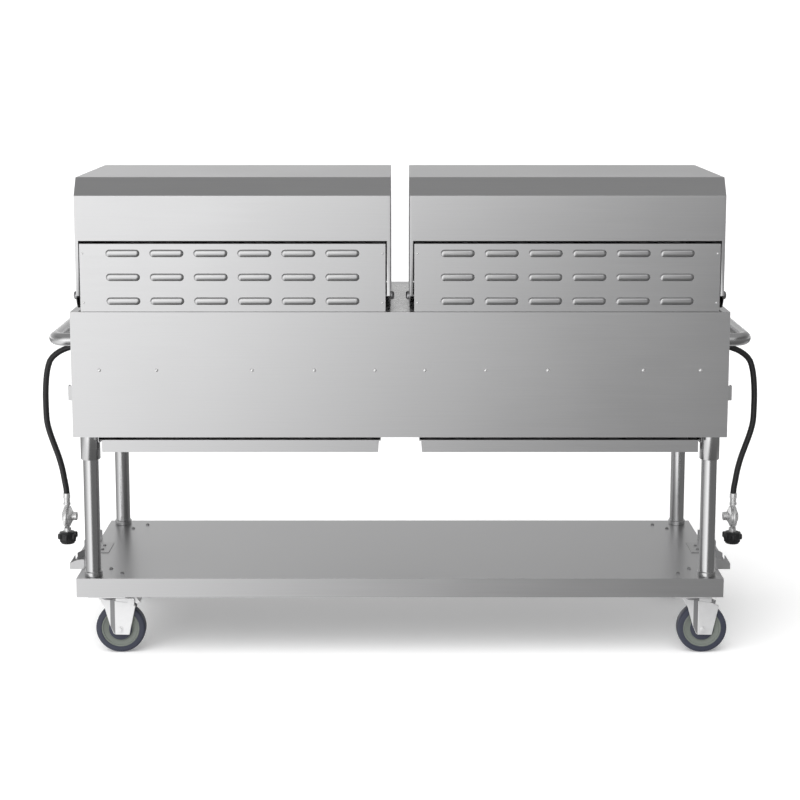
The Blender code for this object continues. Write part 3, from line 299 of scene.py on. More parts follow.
def prism(outline, start, end):
    """Extrudes an (x, z) outline from one depth to another."""
    bm = bmesh.new()
    ends = [[bm.verts.new((x, y_of(depth), z)) for x, z in outline] for depth in (start, end)]
    for k in range(len(outline)):
        n = (k + 1) % len(outline)
        bm.faces.new([ends[0][k], ends[0][n], ends[1][n], ends[1][k]])
    bm.faces.new(ends[0])
    bm.faces.new(ends[1][::-1])
    return bm


def block(x, depth, z):
    return prism([(x[0], z[0]), (x[1], z[0]), (x[1], z[1]), (x[0], z[1])], *depth)


def lofted(rings):
    """A skin through rings of (x, depth, z) points, closed at the last ring only."""
    bm = bmesh.new()
    rings = [[bm.verts.new((x, y_of(depth), z)) for x, depth, z in ring] for ring in rings]
    for a, b in zip(rings, rings[1:]):
        for k in range(len(a)):
            n = (k + 1) % len(a)
            bm.faces.new([a[k], a[n], b[n], b[k]])
    bm.faces.new(rings[-1])
    return bm


def rounded(points, radius, steps=10):
    """The path with its inner corners turned into arcs."""
    points = [Vector(p) for p in points]
    out = [points[0]]
    for before, corner, after in zip(points, points[1:], points[2:]):
        one, two = (before - corner).normalized(), (after - corner).normalized()
        half = one.angle(two) / 2
        run = radius / math.tan(half)
        middle = corner + (one + two).normalized() * (radius / math.sin(half))
        a, b = corner + one * run - middle, corner + two * run - middle
        turn = a.rotation_difference(b)
        out += [middle + Quaternion().slerp(turn, k / steps) @ a for k in range(steps + 1)]
    out.append(points[-1])
    return out


def swept(points, radius, sides=32):
    """A round bar along the points."""
    points = [Vector(p) for p in points]
    bm = bmesh.new()
    heading = [(b - a).normalized() for a, b in zip(points, points[1:])]
    tangents = [(a + b).normalized() for a, b in zip(heading, heading[1:])]
    tangents = [heading[0], *tangents, heading[-1]]
    up = tangents[0].orthogonal().normalized()
    rings = []
    for n, (point, tangent) in enumerate(zip(points, tangents)):
        if n:
            up = (tangents[n - 1].rotation_difference(tangent) @ up)
            up = (up - tangent * up.dot(tangent)).normalized()
        side = tangent.cross(up)
        rings.append([bm.verts.new(point + (up * math.cos(math.tau * k / sides)
                                            + side * math.sin(math.tau * k / sides)) * radius)
                      for k in range(sides)])
    for a, b in zip(rings, rings[1:]):
        for k in range(sides):
            n = (k + 1) % sides
            bm.faces.new([a[k], a[n], b[n], b[k]])
    bm.faces.new(rings[0])
    bm.faces.new(rings[-1])
    return bm


def dome(centre, radius, rise, axis="y", sign=1, sides=24):
    """A rivet's or button head's rounded top, with its skirt sunk into the sheet."""
    steps = [(radius * math.cos(a), rise * math.sin(a))
             for a in (math.pi / 2 * k / 5 for k in range(5))]
    profile = [(radius, -0.0004)] + steps + [(0, rise)]
    return turned([(r, h * sign) for r, h in profile], centre, axis, sides)


def hex_head(centre, across, tall, axis="z", sign=1):
    """A hexagon head with its chamfered top."""
    r = across / math.sqrt(3)
    profile = [(r, 0), (r, tall * 0.82), (r * 0.86, tall), (0, tall)]
    return turned([(a, h * sign) for a, h in profile], centre, axis, 6)


def bent_sheet(faces, points, radius, steps):
    """The outer skin of a folded sheet, with its bends rounded."""
    bm = bmesh.new()
    verts = [bm.verts.new(p) for p in points]
    for face in faces:
        bm.faces.new([verts[k] for k in face])
    bmesh.ops.recalc_face_normals(bm, faces=bm.faces)
    bm.normal_update()
    bends = [e for e in bm.edges
             if len(e.link_faces) == 2 and e.calc_face_angle(0) > math.radians(12)]
    bmesh.ops.bevel(bm, geom=bends, offset=radius, segments=steps, profile=0.5, affect="EDGES",
                    clamp_overlap=True)
    bm.normal_update()
    return bm


# Camera, floor and light

# Brightness of the world by direction, as (x, y or z of the direction, level)
WORLD_REAR_X = [(-1.0, 0.22), (-0.36, 0.22), (-0.22, 0.28), (-0.125, 0.58), (-0.055, 1.07),
                (0.035, 1.56), (0.2, 1.74), (0.65, 1.30), (0.85, 0.62), (1.0, 0.5)]
WORLD_LEAN = 0.5  # how far the bright band at the rear leans with height
WORLD_REAR_Z = [(-1.0, 0.6), (-0.36, 0.76), (-0.14, 1.0), (0.0, 1.0), (0.2, 0.8), (0.5, 0.45),
                (1.0, 0.4)]
WORLD_FRONT_X = [(-1.0, 0.3), (-0.3, 0.50), (0.0, 0.66), (0.3, 0.86), (1.0, 0.6)]
WORLD_FRONT_Z = [(-1.0, 0.8), (-0.46, 1.1), (-0.36, 0.5), (-0.14, 0.5), (-0.05, 1.2), (0.0, 2.5),
                 (0.045, 2.5), (0.07, 1.05), (0.3, 0.85), (0.8, 0.45), (1.0, 0.42)]
WORLD_OVERHEAD = 0.33
REAR_SHARE = [(-1.0, 0.0), (-0.45, 0.0), (0.05, 1.0), (1.0, 1.0)]  # by y, from front to rear
OVERHEAD_SHARE = [(-1.0, 0.0), (0.45, 0.0), (0.8, 1.0), (1.0, 1.0)]  # by z

CAMERA_BACK, CAMERA_HEIGHT = 4.15, 1.522  # from the rear panel and from the floor
CAMERA_TILT = 8.06
FLOOR_HALF = 400
FLOOR_GLOW = 0.22

camera_data = bpy.data.cameras.new("camera")
camera_data.sensor_width = 36.0
camera_data.lens = 77.58
camera_data.shift_y = -0.14
camera = bpy.data.objects.new("camera", camera_data)
bpy.context.collection.objects.link(camera)
camera.location = (0.0, REAR + CAMERA_BACK, CAMERA_HEIGHT)
camera.rotation_euler = (math.radians(90 - CAMERA_TILT), 0.0, math.radians(180))
bpy.context.scene.camera = camera


def stage_plane(name, corners, mat):
    mesh = bpy.data.meshes.new(name)
    mesh.from_pydata(corners, [], [tuple(range(len(corners)))])
    mesh.materials.append(mat)
    obj = bpy.data.objects.new(name, mesh)
    bpy.context.collection.objects.link(obj)
    obj.visible_glossy = False


FLOOR = material("pale_floor", (0.90, 0.90, 0.90), metallic=0.0, rough=0.85, spread=0.1,
                 scale=(3, 3, 3), bump=0.0, tint=0.01, blotch=1.0)
FLOOR.node_tree.nodes["Principled BSDF"].inputs["Emission Color"].default_value = (1, 1, 1, 1)
FLOOR.node_tree.nodes["Principled BSDF"].inputs["Emission Strength"].default_value = FLOOR_GLOW
stage_plane("floor", [(-FLOOR_HALF, -FLOOR_HALF, 0), (FLOOR_HALF, -FLOOR_HALF, 0),
                      (FLOOR_HALF, FLOOR_HALF, 0), (-FLOOR_HALF, FLOOR_HALF, 0)], FLOOR)


def world_light():
    """A soft studio: bright to the grill's right, dark to its left and overhead, even in front."""
    world = bpy.data.worlds.new("studio")
    bpy.context.scene.world = world
    world.use_nodes = True
    nodes, links = world.node_tree.nodes, world.node_tree.links
    shade = nodes["Background"]
    place = nodes.new("ShaderNodeTexCoord")
    parts = nodes.new("ShaderNodeSeparateXYZ")
    links.new(place.outputs["Generated"], parts.inputs[0])

    def graded(output, stops, lean=0.0):
        """A grey that follows one part of the direction, plus a share of z where it leans."""
        ramp = nodes.new("ShaderNodeValToRGB")
        shift = nodes.new("ShaderNodeMapRange")
        shift.inputs["From Min"].default_value = -1.0
        value = parts.outputs[output]
        if lean:
            tilt = nodes.new("ShaderNodeMath")
            tilt.operation = "MULTIPLY_ADD"
            links.new(parts.outputs["Z"], tilt.inputs[0])
            tilt.inputs[1].default_value = lean
            links.new(value, tilt.inputs[2])
            value = tilt.outputs[0]
        links.new(value, shift.inputs["Value"])
        links.new(shift.outputs["Result"], ramp.inputs["Fac"])
        elements = ramp.color_ramp.elements
        while len(elements) < len(stops):
            elements.new(0.5)
        for element, (where, level) in zip(elements, stops):
            element.position = (where + 1) / 2
            element.color = (level, level, level, 1)
        return ramp.outputs["Color"]

    def mixed(kind, factor, one, two):
        mix = nodes.new("ShaderNodeMixRGB")
        mix.blend_type = kind
        if factor is None:
            mix.inputs["Fac"].default_value = 1.0
        else:
            links.new(factor, mix.inputs["Fac"])
        links.new(one, mix.inputs["Color1"])
        links.new(two, mix.inputs["Color2"])
        return mix.outputs["Color"]

    rear = mixed("MULTIPLY", None, graded("X", WORLD_REAR_X, WORLD_LEAN),
                 graded("Z", WORLD_REAR_Z))
    front = mixed("MULTIPLY", None, graded("X", WORLD_FRONT_X), graded("Z", WORLD_FRONT_Z))
    around = mixed("MIX", graded("Y", REAR_SHARE), front, rear)
    overhead = graded("X", [(-1.0, WORLD_OVERHEAD), (1.0, WORLD_OVERHEAD)])
    links.new(mixed("MIX", graded("Z", OVERHEAD_SHARE), around, overhead), shade.inputs["Color"])
    shade.inputs["Strength"].default_value = 1.0


def sun_light(name, source, strength, spread):
    """Broad light on what isn't metal. The sheets reflect only the world."""
    data = bpy.data.lights.new(name, "SUN")
    data.energy = strength
    data.angle = math.radians(spread)
    obj = bpy.data.objects.new(name, data)
    bpy.context.collection.objects.link(obj)
    obj.rotation_euler = (-Vector(source)).to_track_quat("-Z", "Y").to_euler()
    obj.visible_glossy = False


world_light()
sun_light("overhead", source=(0.35, 0.5, 1.0), strength=3.1, spread=70)
bpy.context.scene.view_settings.view_transform = "Standard"


# Hoods, their backs and handles

def hood(side, sign):
    """The roll hood: one bent sheet with its ends, open below and at its back under the skirt."""
    flange, radius = 0.008, 0.034  # beside the louvres, and of the ends' lower rear corners
    columns = [HOOD_X[0], HOOD_X[0] + flange, HOOD_X[1] - flange, HOOD_X[1]]
    bend = [(0, SKIRT_Z), (0, HOOD_CHAMFER[1]), (HOOD_CHAMFER[0], HOOD_Z[1]),
            (HOOD_SLOPE[0], HOOD_Z[1]), (HOOD_DEPTH, HOOD_SLOPE[1]),
            (HOOD_DEPTH, HOOD_Z[0] - HOOD_FRONT_LAP)]
    corner = [(radius - radius * math.cos(a), HOOD_Z[0] + radius - radius * math.sin(a))
              for a in (math.pi / 2 - math.pi / 2 * k / 8 for k in range(9))]
    points, faces = [], []
    for depth, z in bend:
        points += [(sign * x, y_of(depth), z) for x in columns]
    for row in range(len(bend) - 1):
        for column in range(3):
            a = row * 4 + column
            faces.append((a, a + 1, a + 5, a + 4))
    for column, strip in ((0, 1), (3, 2)):
        first = len(points)
        points += [(sign * columns[column], y_of(depth), z) for depth, z in corner]
        faces.append((*(row * 4 + column for row in range(len(bend))),
                      *range(first, len(points))))
        points.append((sign * columns[strip], y_of(0), corner[-1][1]))
        faces.append((len(points) - 2, len(points) - 1, strip, column))
    bm = bent_sheet(faces, points, 0.0022, 3)
    piece(f"hood_shell_{side}", bm, BRUSHED, f"hood_{side}", [f"hood_{side}"], angle=60,
          even=True, thick=SHEET)


def hood_handle(side, sign):
    """A bar with bent ends and a foot under each."""
    z = TOP + 0.075
    middle, half = (HOOD_X[0] + HOOD_X[1]) / 2, 0.26
    low, high = middle - half, middle + half
    base, reach = HOOD_DEPTH + GAP, HOOD_DEPTH + 0.045
    bar_radius, bend_radius = 0.011, 0.025
    path = rounded([(low, y_of(base), z), (low, y_of(reach), z),
                    (high, y_of(reach), z), (high, y_of(base), z)], bend_radius, 10)
    bm = swept(path, bar_radius, 36)
    for x in (low, high):
        foot = [(0.018, 0)] + arc((0.0168, -0.0018), 0.0012, 0, -90, 4) + [(0.0112, -0.003)]
        join(bm, turned(foot, (x, y_of(base), z), "y", 48))
    piece(f"hood_bar_{side}", sided(bm, sign), BAR, f"hood_{side}", [f"hood_handle_{side}"],
          angle=40)


def capsule(half_x, half_z, steps=10):
    """A slot's outline as (x, z) points."""
    flat = max(half_x - half_z, 0.0)
    right = [(flat + half_z * math.cos(a), half_z * math.sin(a))
             for a in (-math.pi / 2 + math.pi * k / steps for k in range(steps + 1))]
    return right + [(-x, -z) for x, z in right]


def louver_bump(x, z):
    """One pressed louvre: a capsule with a rounded shoulder, standing out of the back and
    leaning up, so its lower slope is the longer one."""
    lean = 0.32
    shoulder = ((-0.0008, -0.0006), (0.0, -0.0004), (0.0004, 0.0), (0.0018, 0.0007),
                (0.0031, 0.0021), (0.0038, 0.0040), (0.0040, 0.0062))
    return lofted([[(x + a, -rise, z + b + lean * max(shrink, 0.0))
                    for a, b in capsule(LOUVER_HALF[0] - shrink, LOUVER_HALF[1] - shrink)]
                   for rise, shrink in shoulder])


def louver_panel(side, sign):
    """The fixed back under the hood, with folded edges, louvres, rivets and pivot bolts."""
    low, high = LOUVER_X
    z0, z1 = LOUVER_Z[0] + 0.0009, LOUVER_Z[1] - 0.0016
    back, lip, end = y_of(0), y_of(0.010), y_of(0.040)
    points = [(low, end, z0), (low, back, z0), (high, back, z0), (high, end, z0),
              (low, end, z1), (low, back, z1), (high, back, z1), (high, end, z1),
              (low, lip, z1), (high, lip, z1)]
    faces = [(1, 2, 6, 5), (0, 1, 5, 8, 4), (2, 3, 7, 9, 6), (5, 6, 9, 8)]
    bm = bent_sheet(faces, points, 0.0012, 2)
    piece(f"louver_sheet_{side}", sided(bm, sign), BRUSHED, "root", [f"louver_panel_{side}"],
          angle=60, even=True, thick=SHEET)
    middle = (low + high) / 2
    bumps = bmesh.new()
    for row in range(3):
        for column in range(6):
            join(bumps, louver_bump(middle + LOUVER_STEP[0] * (column - 2.5),
                                    LOUVER_FIRST - LOUVER_STEP[1] * row))
    piece(f"louvers_{side}", sided(bumps, sign), BRUSHED, "root", angle=75)
    rivets = bmesh.new()
    for x in (low + 0.008, high - 0.008):
        for z in (LOUVER_FIRST, LOUVER_FIRST - LOUVER_STEP[1] * 2 - 0.004):
            join(rivets, dome((x, back, z), 0.0026, 0.0009))
    piece(f"louver_rivets_{side}", sided(rivets, sign), ALLOY, "root", angle=50)
    studs = bmesh.new()
    for x, way in ((low, -1), (high, 1)):
        hood_face = HOOD_X[1] if way > 0 else HOOD_X[0]
        inner = hood_face - way * (SHEET + GAP)
        outer = hood_face + way * GAP
        centre = (0, y_of(PIVOT[0]), PIVOT[1])
        collar = [(0.005, x - way * SHEET / 2), (0.005, inner), (0.004, inner), (0.004, outer)]
        head = [(radius, outer + way * out) for radius, out in
                ((0.0102, 0.0), (0.0104, 0.0008), (0.0104, 0.0040), (0.0096, 0.0064),
                 (0.0078, 0.0080), (0.0048, 0.0089), (0.0, 0.0092))]
        join(studs, turned(collar + head, centre, "x", 40))
    piece(f"hood_pivots_{side}", sided(studs, sign), BOLT, "root", angle=30)


for side, sign in SIDES:
    hood(side, sign)
    hood_handle(side, sign)
    louver_panel(side, sign)


# Body: the sheets keep their CAD shape, with rounded edges

def keep(name, mat, width):
    """Gives a CAD node its material and rounds its edges."""
    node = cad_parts[name]
    node.data.materials.clear()
    node.data.materials.append(mat)
    rounded_edges(node, width)


for name, mat, width in [("rear_panel", BRUSHED, 0.0006), ("control_panel", BRUSHED, 0.0006),
                         ("center_bridge", ALLOY, 0.0004), ("undershelf", BRUSHED, 0.0007)]:
    keep(name, mat, width)
for side, sign in SIDES:
    for name, mat in [("end_panel", BRUSHED_DEPTH), ("drip_tray", BRUSHED), ("firebox", INSIDE),
                      ("radiant", INSIDE), ("tank_bracket", BRUSHED_DEPTH), ("caster_rail", ZINC),
                      ("manifold", BRASS)]:
        keep(f"{name}_{side}", mat, 0.0004)

RIVET_SHARES = (0.0758, 0.2609, 0.4497, 0.7404, 0.9143)  # of the body's half length
RIVET_Z = TOP - 0.144
rivets = bmesh.new()
for share in RIVET_SHARES:
    for sign in (-1, 1):
        join(rivets, dome((sign * share * HALF, y_of(0), RIVET_Z), 0.0043, 0.0021))
piece("panel_rivets", rivets, ALLOY, "root", angle=50)

# Bolts of the caster plates and screws of the bracket's tongue, on the shelf
for side, sign in SIDES:
    heads = bmesh.new()
    for end, depth in CASTER_DEPTHS.items():
        way = 1 if end == "rear" else -1
        for x, forward in ((CASTER_X, 0.034), (CASTER_X - 0.034, -0.004)):
            spot = (x, y_of(depth + way * forward), SHELF_TOP)
            join(heads, turned([(0.0054, 0), (0.0054, 0.0006), (0.0042, 0.0008)], spot, "z", 32))
            join(heads, hex_head((spot[0], spot[1], SHELF_TOP + 0.0008), 0.0074, 0.0022))
    piece(f"shelf_bolts_{side}", sided(heads, sign), ZINC_DARK, "root", angle=30)
    screws = bmesh.new()
    for way in (-1, 1):
        spot = (CASTER_X + 0.050, y_of(0.265 + way * 0.0175), SHELF_TOP + 0.0018)
        join(screws, dome(spot, 0.0046, 0.0030, "z"))
    piece(f"bracket_screws_{side}", sided(screws, sign), BOLT, "root", angle=50)


# Legs

def leg(end, side, sign):
    """A tube, the collar it stands in and the socket sleeve under the body."""
    spot = (sign * LEG_X, y_of(LEG_DEPTHS[end]), 0)
    low, high = SHELF_TOP + GAP, BOTTOM - 0.004
    tube = turned([(LEG_RADIUS, low + 0.004), (LEG_RADIUS, high - 0.0006), (0.0185, high),
                   (LEG_BORE, high), (LEG_BORE, low + 0.004)], spot, "z", 72, closed=True)
    piece(f"leg_tube_{end}_{side}", tube, TUBE, "root", [f"leg_{end}_{side}"], angle=40)
    ring = turned([(0.0190, low), (0.0222, low), (0.0225, low + 0.0004), (0.0225, low + 0.0108),
                   (0.0218, low + 0.0116), (0.0190, low + 0.0120)], spot, "z", 72, closed=True)
    piece(f"leg_collar_{end}_{side}", ring, TUBE, "root", angle=35)
    sleeve = turned([(0.0203, BOTTOM - 0.0602), (0.0238, BOTTOM - 0.0602),
                     (0.0242, BOTTOM - 0.0596), (0.0242, BOTTOM - 0.0002),
                     (0.0203, BOTTOM - 0.0002)], spot, "z", 72, closed=True)
    piece(f"leg_socket_{end}_{side}", sleeve, TUBE, "root", angle=35)


for side, sign in SIDES:
    for end in ENDS:
        leg(end, side, sign)


# Push handles

def push_handle(side, sign):
    """A bent bar along the end panel, with a flange at each foot."""
    inner, outer, z = HALF + GAP, HALF + 0.054, TOP - 0.078
    rear, front = y_of(0.060), y_of(0.470)
    bar_radius, bend_radius = 0.0159, 0.035
    path = rounded([(inner, rear, z), (outer, rear, z), (outer, front, z), (inner, front, z)],
                   bend_radius, 14)
    bm = swept(path, bar_radius, 48)
    for y in (rear, front):
        flange = [(0.0162, 0.0030), (0.0245, 0.0030), (0.0260, 0.0020), (0.0260, 0.0)]
        join(bm, turned(flange, (inner, y, z), "x", 56))
    piece(f"push_bar_{side}", sided(bm, sign), BAR, "root", [f"push_handle_{side}"], angle=35)


for side, sign in SIDES:
    push_handle(side, sign)


# Grates, burners and knobs

def grate(side, sign):
    """Rods in a frame, over the CAD plate with its slots."""
    x0, x1, z0, z1 = 0.043, 0.775, 0.8453, 0.8553
    low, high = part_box(f"grate_{side}")[0][1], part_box(f"grate_{side}")[1][1]
    inset, rod, count = 0.006, 0.0036, 38
    left, right, front, rear = x0 + inset, x1 - inset, low + inset, high - inset
    bm = bmesh.new()
    ring = [Vector((x, y, (z0 + z1) / 2))
            for x, y in ((left, front), (right, front), (right, rear), (left, rear))]
    for a, b in zip(ring, ring[1:] + ring[:1]):
        grow = (b - a).normalized() * inset
        join(bm, swept([a - grow, b + grow], 0.005, 16))
    for k in range(count):
        x = left + (x1 - x0 - 2 * inset) * (k + 0.5) / count
        join(bm, swept([(x, front, z1 - rod), (x, rear, z1 - rod)], rod, 12))
    for share in (0.25, 0.5, 0.75):
        y = low + (high - low) * share
        join(bm, swept([(left, y, z0 + 0.0035), (right, y, z0 + 0.0035)], 0.0034, 12))
    piece(f"grate_rods_{side}", sided(bm, sign), IRON, f"grate_{side}", [f"grate_{side}"],
          angle=50)


def burners(side, sign):
    """Two pairs of tubes with their ports, each pair with a carry-over tube."""
    for number in (1, 2):
        low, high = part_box(f"burner_pair_{number}_{side}")
        bm = bmesh.new()
        xs = sorted(abs(v) for v in (low[0] + 0.016, high[0] - 0.016))
        for x in xs:
            tube = turned([(0.0158, low[1]), (0.0158, high[1] - 0.003), (0.0140, high[1]),
                           (0.0, high[1])], (x, 0, BURNER_Z), "y", 40)
            mouth = [f for f in tube.faces if f.calc_center_median().y < low[1] + 1e-5]
            bmesh.ops.delete(tube, geom=mouth, context="FACES_ONLY")
            join(bm, tube)
            for k in range(20):
                y = low[1] + 0.06 + (high[1] - low[1] - 0.08) * k / 19
                for way in (-1, 1):
                    spot = (x + way * 0.0109, y, BURNER_Z + 0.0112)
                    join(bm, turned([(0.0016, -0.0010), (0.0022, 0.0006), (0.0012, 0.0006),
                                     (0.0010, -0.0010)], spot, "z", 8, closed=True))
        join(bm, turned([(0.0058, xs[0] + 0.015), (0.0058, xs[1] - 0.015)],
                        (0, (low[1] + high[1]) / 2, BURNER_Z), "x", 24))
        piece(f"burner_tubes_{number}_{side}", sided(bm, sign), BURNER, "root",
              [f"burner_pair_{number}_{side}"], angle=50)


def knob(side, sign, number):
    """Stem and skirt, a tapered grip with its mark, and the fixed bezel behind."""
    x = sorted(sign * v for v in BURNER_XS)[number - 1]
    body = f"knob_{side}_{number}"
    back = BODY_DEPTH + 0.001
    front = back + 0.0198
    profile = [(0.004, -(BODY_DEPTH - 0.0145)), (0.004, -back), (0.0213, -back),
               (0.0220, -back - 0.0007), (0.0220, -back - 0.0053), (0.0214, -back - 0.0062),
               (0.0205, -back - 0.0066), (0.0190, -front + 0.0012), (0.0180, -front),
               (0.0, -front)]
    bm = turned(profile, (x, REAR, BURNER_Z), "y", 64)
    piece(f"knob_skirt_{side}_{number}", bm, BLACK, body, [body], angle=35)
    grip = prism([(x - 0.0050, BURNER_Z - 0.018), (x + 0.0050, BURNER_Z - 0.018),
                  (x + 0.0040, BURNER_Z + 0.018), (x - 0.0040, BURNER_Z + 0.018)],
                 front - 0.002, back + 0.032)
    piece(f"knob_grip_{side}_{number}", grip, BLACK, body, angle=40, bevel=0.0014, steps=4)
    line = block((x - 0.0008, x + 0.0008), (back + 0.0318, back + 0.0321),
                 (BURNER_Z + 0.004, BURNER_Z + 0.0155))
    piece(f"knob_mark_{side}_{number}", line, MARK, body)
    ring = turned([(0.0235, 0.0), (0.0275, 0.0), (0.0272, -0.0007), (0.0238, -0.0007)],
                  (x, y_of(BODY_DEPTH), BURNER_Z), "y", 64, closed=True)
    piece(f"knob_bezel_{side}_{number}", ring, TUBE, "root", angle=35)


for side, sign in SIDES:
    grate(side, sign)
    burners(side, sign)
    for number in (1, 2, 3, 4):
        knob(side, sign, number)


# Casters: each wheel trails to the left of its kingpin

FORK_TOP = PLATE_BOTTOM - GAP - 0.008
FORK_ROOM = WHEEL_HALF + 0.004  # half the space between the fork's legs


def around(x, z, *points):
    return [(x + a, z + b) for a, b in points]


def fork(end, side, kingpin, axle):
    """Two legs with a raised rib each and a strip of darker zinc as painted shade of the fold
    beside it, a bridge between them and the axle. A right-hand fork also holds the brake pedal's
    cheeks and pin."""
    depth, tag = CASTER_DEPTHS[end], f"{end}_{side}"
    y = y_of(depth)
    bm, shade_strips = bmesh.new(), bmesh.new()
    for way in (-1, 1):
        base = depth - way * FORK_ROOM
        outline = [(axle + TRAIL + 0.0225, FORK_TOP),
                   *around(axle, AXLE_Z, (TRAIL + 0.010, 0.058), (0.025, 0.010),
                           (0.0155, -0.0125), (-0.018, -0.0130), (-0.034, 0.060),
                           (-0.0215, 0.068)),
                   (axle - 0.0215, FORK_TOP)]
        join(bm, prism(outline, base, base - way * 0.00125))
        low = around(axle, AXLE_Z, (0.0130, 0.0745), (0.0130, -0.0110), (0.0120, -0.0140),
                     (-0.0235, -0.0145), (-0.0400, 0.0615), (-0.0215, 0.0705))
        high = around(axle, AXLE_Z, (0.0117, 0.0735), (0.0117, -0.0120), (0.0112, -0.0130),
                      (-0.0228, -0.0137), (-0.0392, 0.0608), (-0.0210, 0.0698))
        join(bm, lofted([[(x, base - way * rise, z) for x, z in ring]
                         for ring, rise in ((low, 0.0004), (low, 0.0008), (high, 0.0026))]))
        # A strip of the darker zinc beside the rib: painted shade of the fold there
        shade_strip = [(axle + 0.0236, FORK_TOP - 0.0005),
                *around(axle, AXLE_Z, (0.0236, 0.0080), (0.0136, -0.0128), (0.0100, -0.0128)),
                (axle + 0.0100, FORK_TOP - 0.0005)]
        join(shade_strips, prism(shade_strip, base - way * 0.0006, base - way * 0.0017))
        face = y_of(base - way * 0.0024)
        join(bm, turned([(0.0085, 0), (0.0085, way * 0.0010), (0.0062, way * 0.0010)],
                        (axle, face, AXLE_Z), "y", 40))
        join(bm, hex_head((axle, face + way * 0.0009, AXLE_Z), 0.0105, 0.0030, "y", way))
    join(bm, block((axle - 0.0215, kingpin + 0.0225),
                   (depth - FORK_ROOM - 0.001, depth + FORK_ROOM + 0.001),
                   (FORK_TOP - 0.0040, FORK_TOP - 0.0005)))
    join(bm, turned([(AXLE_RADIUS, -FORK_ROOM), (AXLE_RADIUS, FORK_ROOM)],
                    (axle, y, AXLE_Z), "y", 24))
    if side == "right":
        x, z = pedal_pin(axle)
        for way in (-1, 1):
            cheek = sorted((depth + way * FORK_ROOM, depth + way * (FORK_ROOM + 0.0025)))
            join(bm, block((x - 0.006, x + 0.012), cheek, (z - 0.012, z + 0.0055)))
        join(bm, turned([(0.003, -FORK_ROOM - 0.002), (0.003, FORK_ROOM + 0.002)], (x, y, z),
                        "y", 24))
    piece(f"fork_{tag}", bm, ZINC, f"caster_{tag}", [f"caster_fork_{tag}"], angle=25,
          bevel=0.0005)
    # The strips of painted shade along the fork's legs
    piece(f"fork_painted_shade_{tag}", shade_strips, PAINTED_SHADE_ZINC, f"caster_{tag}", angle=25)


def swivel(end, side, kingpin):
    """The race between plate and fork, and the kingpin's nut."""
    tag, y = f"{end}_{side}", y_of(CASTER_DEPTHS[end])
    race = raised([(0.0066, -0.0045), (0.0225, -0.0045), (0.0270, 0), (0.0310, 0.0012),
                   (0.0314, 0.0030), (0.0300, 0.0048), (0.0290, 0.0060), (0.0240, 0.0079),
                   (0.0066, 0.0079)], FORK_TOP)
    piece(f"swivel_race_{tag}", turned(race, (kingpin, y, 0), "z", 64, closed=True), ZINC_DARK,
          f"caster_{tag}", angle=30)
    nut = hex_head((kingpin, y, FORK_TOP - 0.0045), 0.0175, 0.0046, "z", -1)
    piece(f"kingpin_nut_{tag}", nut, BOLT, f"caster_{tag}", angle=30)


def wheel(end, side, axle):
    """Tyre, hub and dust covers. Profiles are (radius, distance from the wheel's middle)."""
    tag = f"{end}_{side}"
    centre = (axle, y_of(CASTER_DEPTHS[end]), AXLE_Z)
    tread = raised([(0.0478, -0.0016), (0.0490, -0.0006), (0.0545, -0.0009)], WHEEL_HALF)
    tread += arc((WHEEL_RADIUS - 0.0055, WHEEL_HALF - 0.0060), 0.0050, 80, 8, 6)
    outline = [*tread, (WHEEL_RADIUS - 0.0001, 0.0), *((r, -h) for r, h in tread[::-1])]
    piece(f"tyre_{tag}", turned(outline, centre, "y", 128, closed=True), TYRE, f"wheel_{tag}",
          [f"caster_wheel_{tag}"], angle=40)
    half_hub = raised([(0.0480, -0.0024), (0.0462, -0.0016), (0.0440, -0.0020),
                       (0.0425, -0.0042), (0.0330, -0.0062), (0.0305, -0.0040),
                       (0.0296, -0.0028)], WHEEL_HALF)
    outline = half_hub + [(r, -h) for r, h in half_hub[::-1]]
    piece(f"hub_{tag}", turned(outline, centre, "y", 96, closed=True), HUB, f"wheel_{tag}",
          angle=30)
    inner = 0.004
    cover = [(0.0297, inner), *raised([(0.0297, -0.0020), (0.0288, -0.0008), (0.0250, -0.0002),
                                       (0.0150, 0.0008), (0.0070, 0.0012)], WHEEL_HALF),
             (0.0070, inner)]
    covers = [turned([(r, way * h) for r, h in cover], centre, "y", 80, closed=True)
              for way in (-1, 1)]
    piece(f"hub_covers_{tag}", join(*covers), TYRE, f"wheel_{tag}", angle=30)


def plate_bolts(end, side, kingpin):
    """Bolt heads under the caster's plate, kept within the shelf's lips."""
    y, spread = y_of(CASTER_DEPTHS[end]), 0.038
    bolts = bmesh.new()
    for dx in (-spread, spread):
        for dy in (-spread, spread):
            spot = (kingpin + dx, min(max(y + dy, y_of(0.520)), y_of(0.010)), PLATE_BOTTOM)
            join(bolts, dome(spot, 0.0052, 0.0016, "z", -1))
    piece(f"plate_bolts_{end}_{side}", bolts, BOLT, "root", angle=30)


def pedal_pin(axle):
    return axle - 0.0310, AXLE_Z + 0.0755


def brake_pedal(end, axle):
    """A bent tread with a cheek at each end, on a sleeve round its pin."""
    depth, half = CASTER_DEPTHS[end], 0.015
    x, z = pedal_pin(axle)
    tread = around(x, z, (0.006, 0.0070), (-0.009, 0.0070), (-0.0180, -0.0045),
                   (-0.0205, -0.0060), (-0.0105, 0.0045), (0.006, 0.0045))
    bm = prism(tread, depth - half, depth + half)
    cheek = around(x, z, (0.0010, 0.0066), (-0.0094, 0.0066), (-0.0198, -0.0052),
                   (-0.0130, -0.0110), (-0.0035, -0.0075))
    for way in (-1, 1):
        join(bm, prism(cheek, depth + way * (half - 0.0015), depth + way * (half + 0.0003)))
    join(bm, turned([(0.0038, -half + 0.004), (0.0075, -half + 0.004), (0.0075, half - 0.004),
                     (0.0038, half - 0.004)], (x, y_of(depth), z), "y", 32, closed=True))
    piece(f"pedal_{end}", bm, ZINC, f"brake_pedal_{end}", [f"brake_pedal_{end}"], angle=30,
          bevel=0.0006)


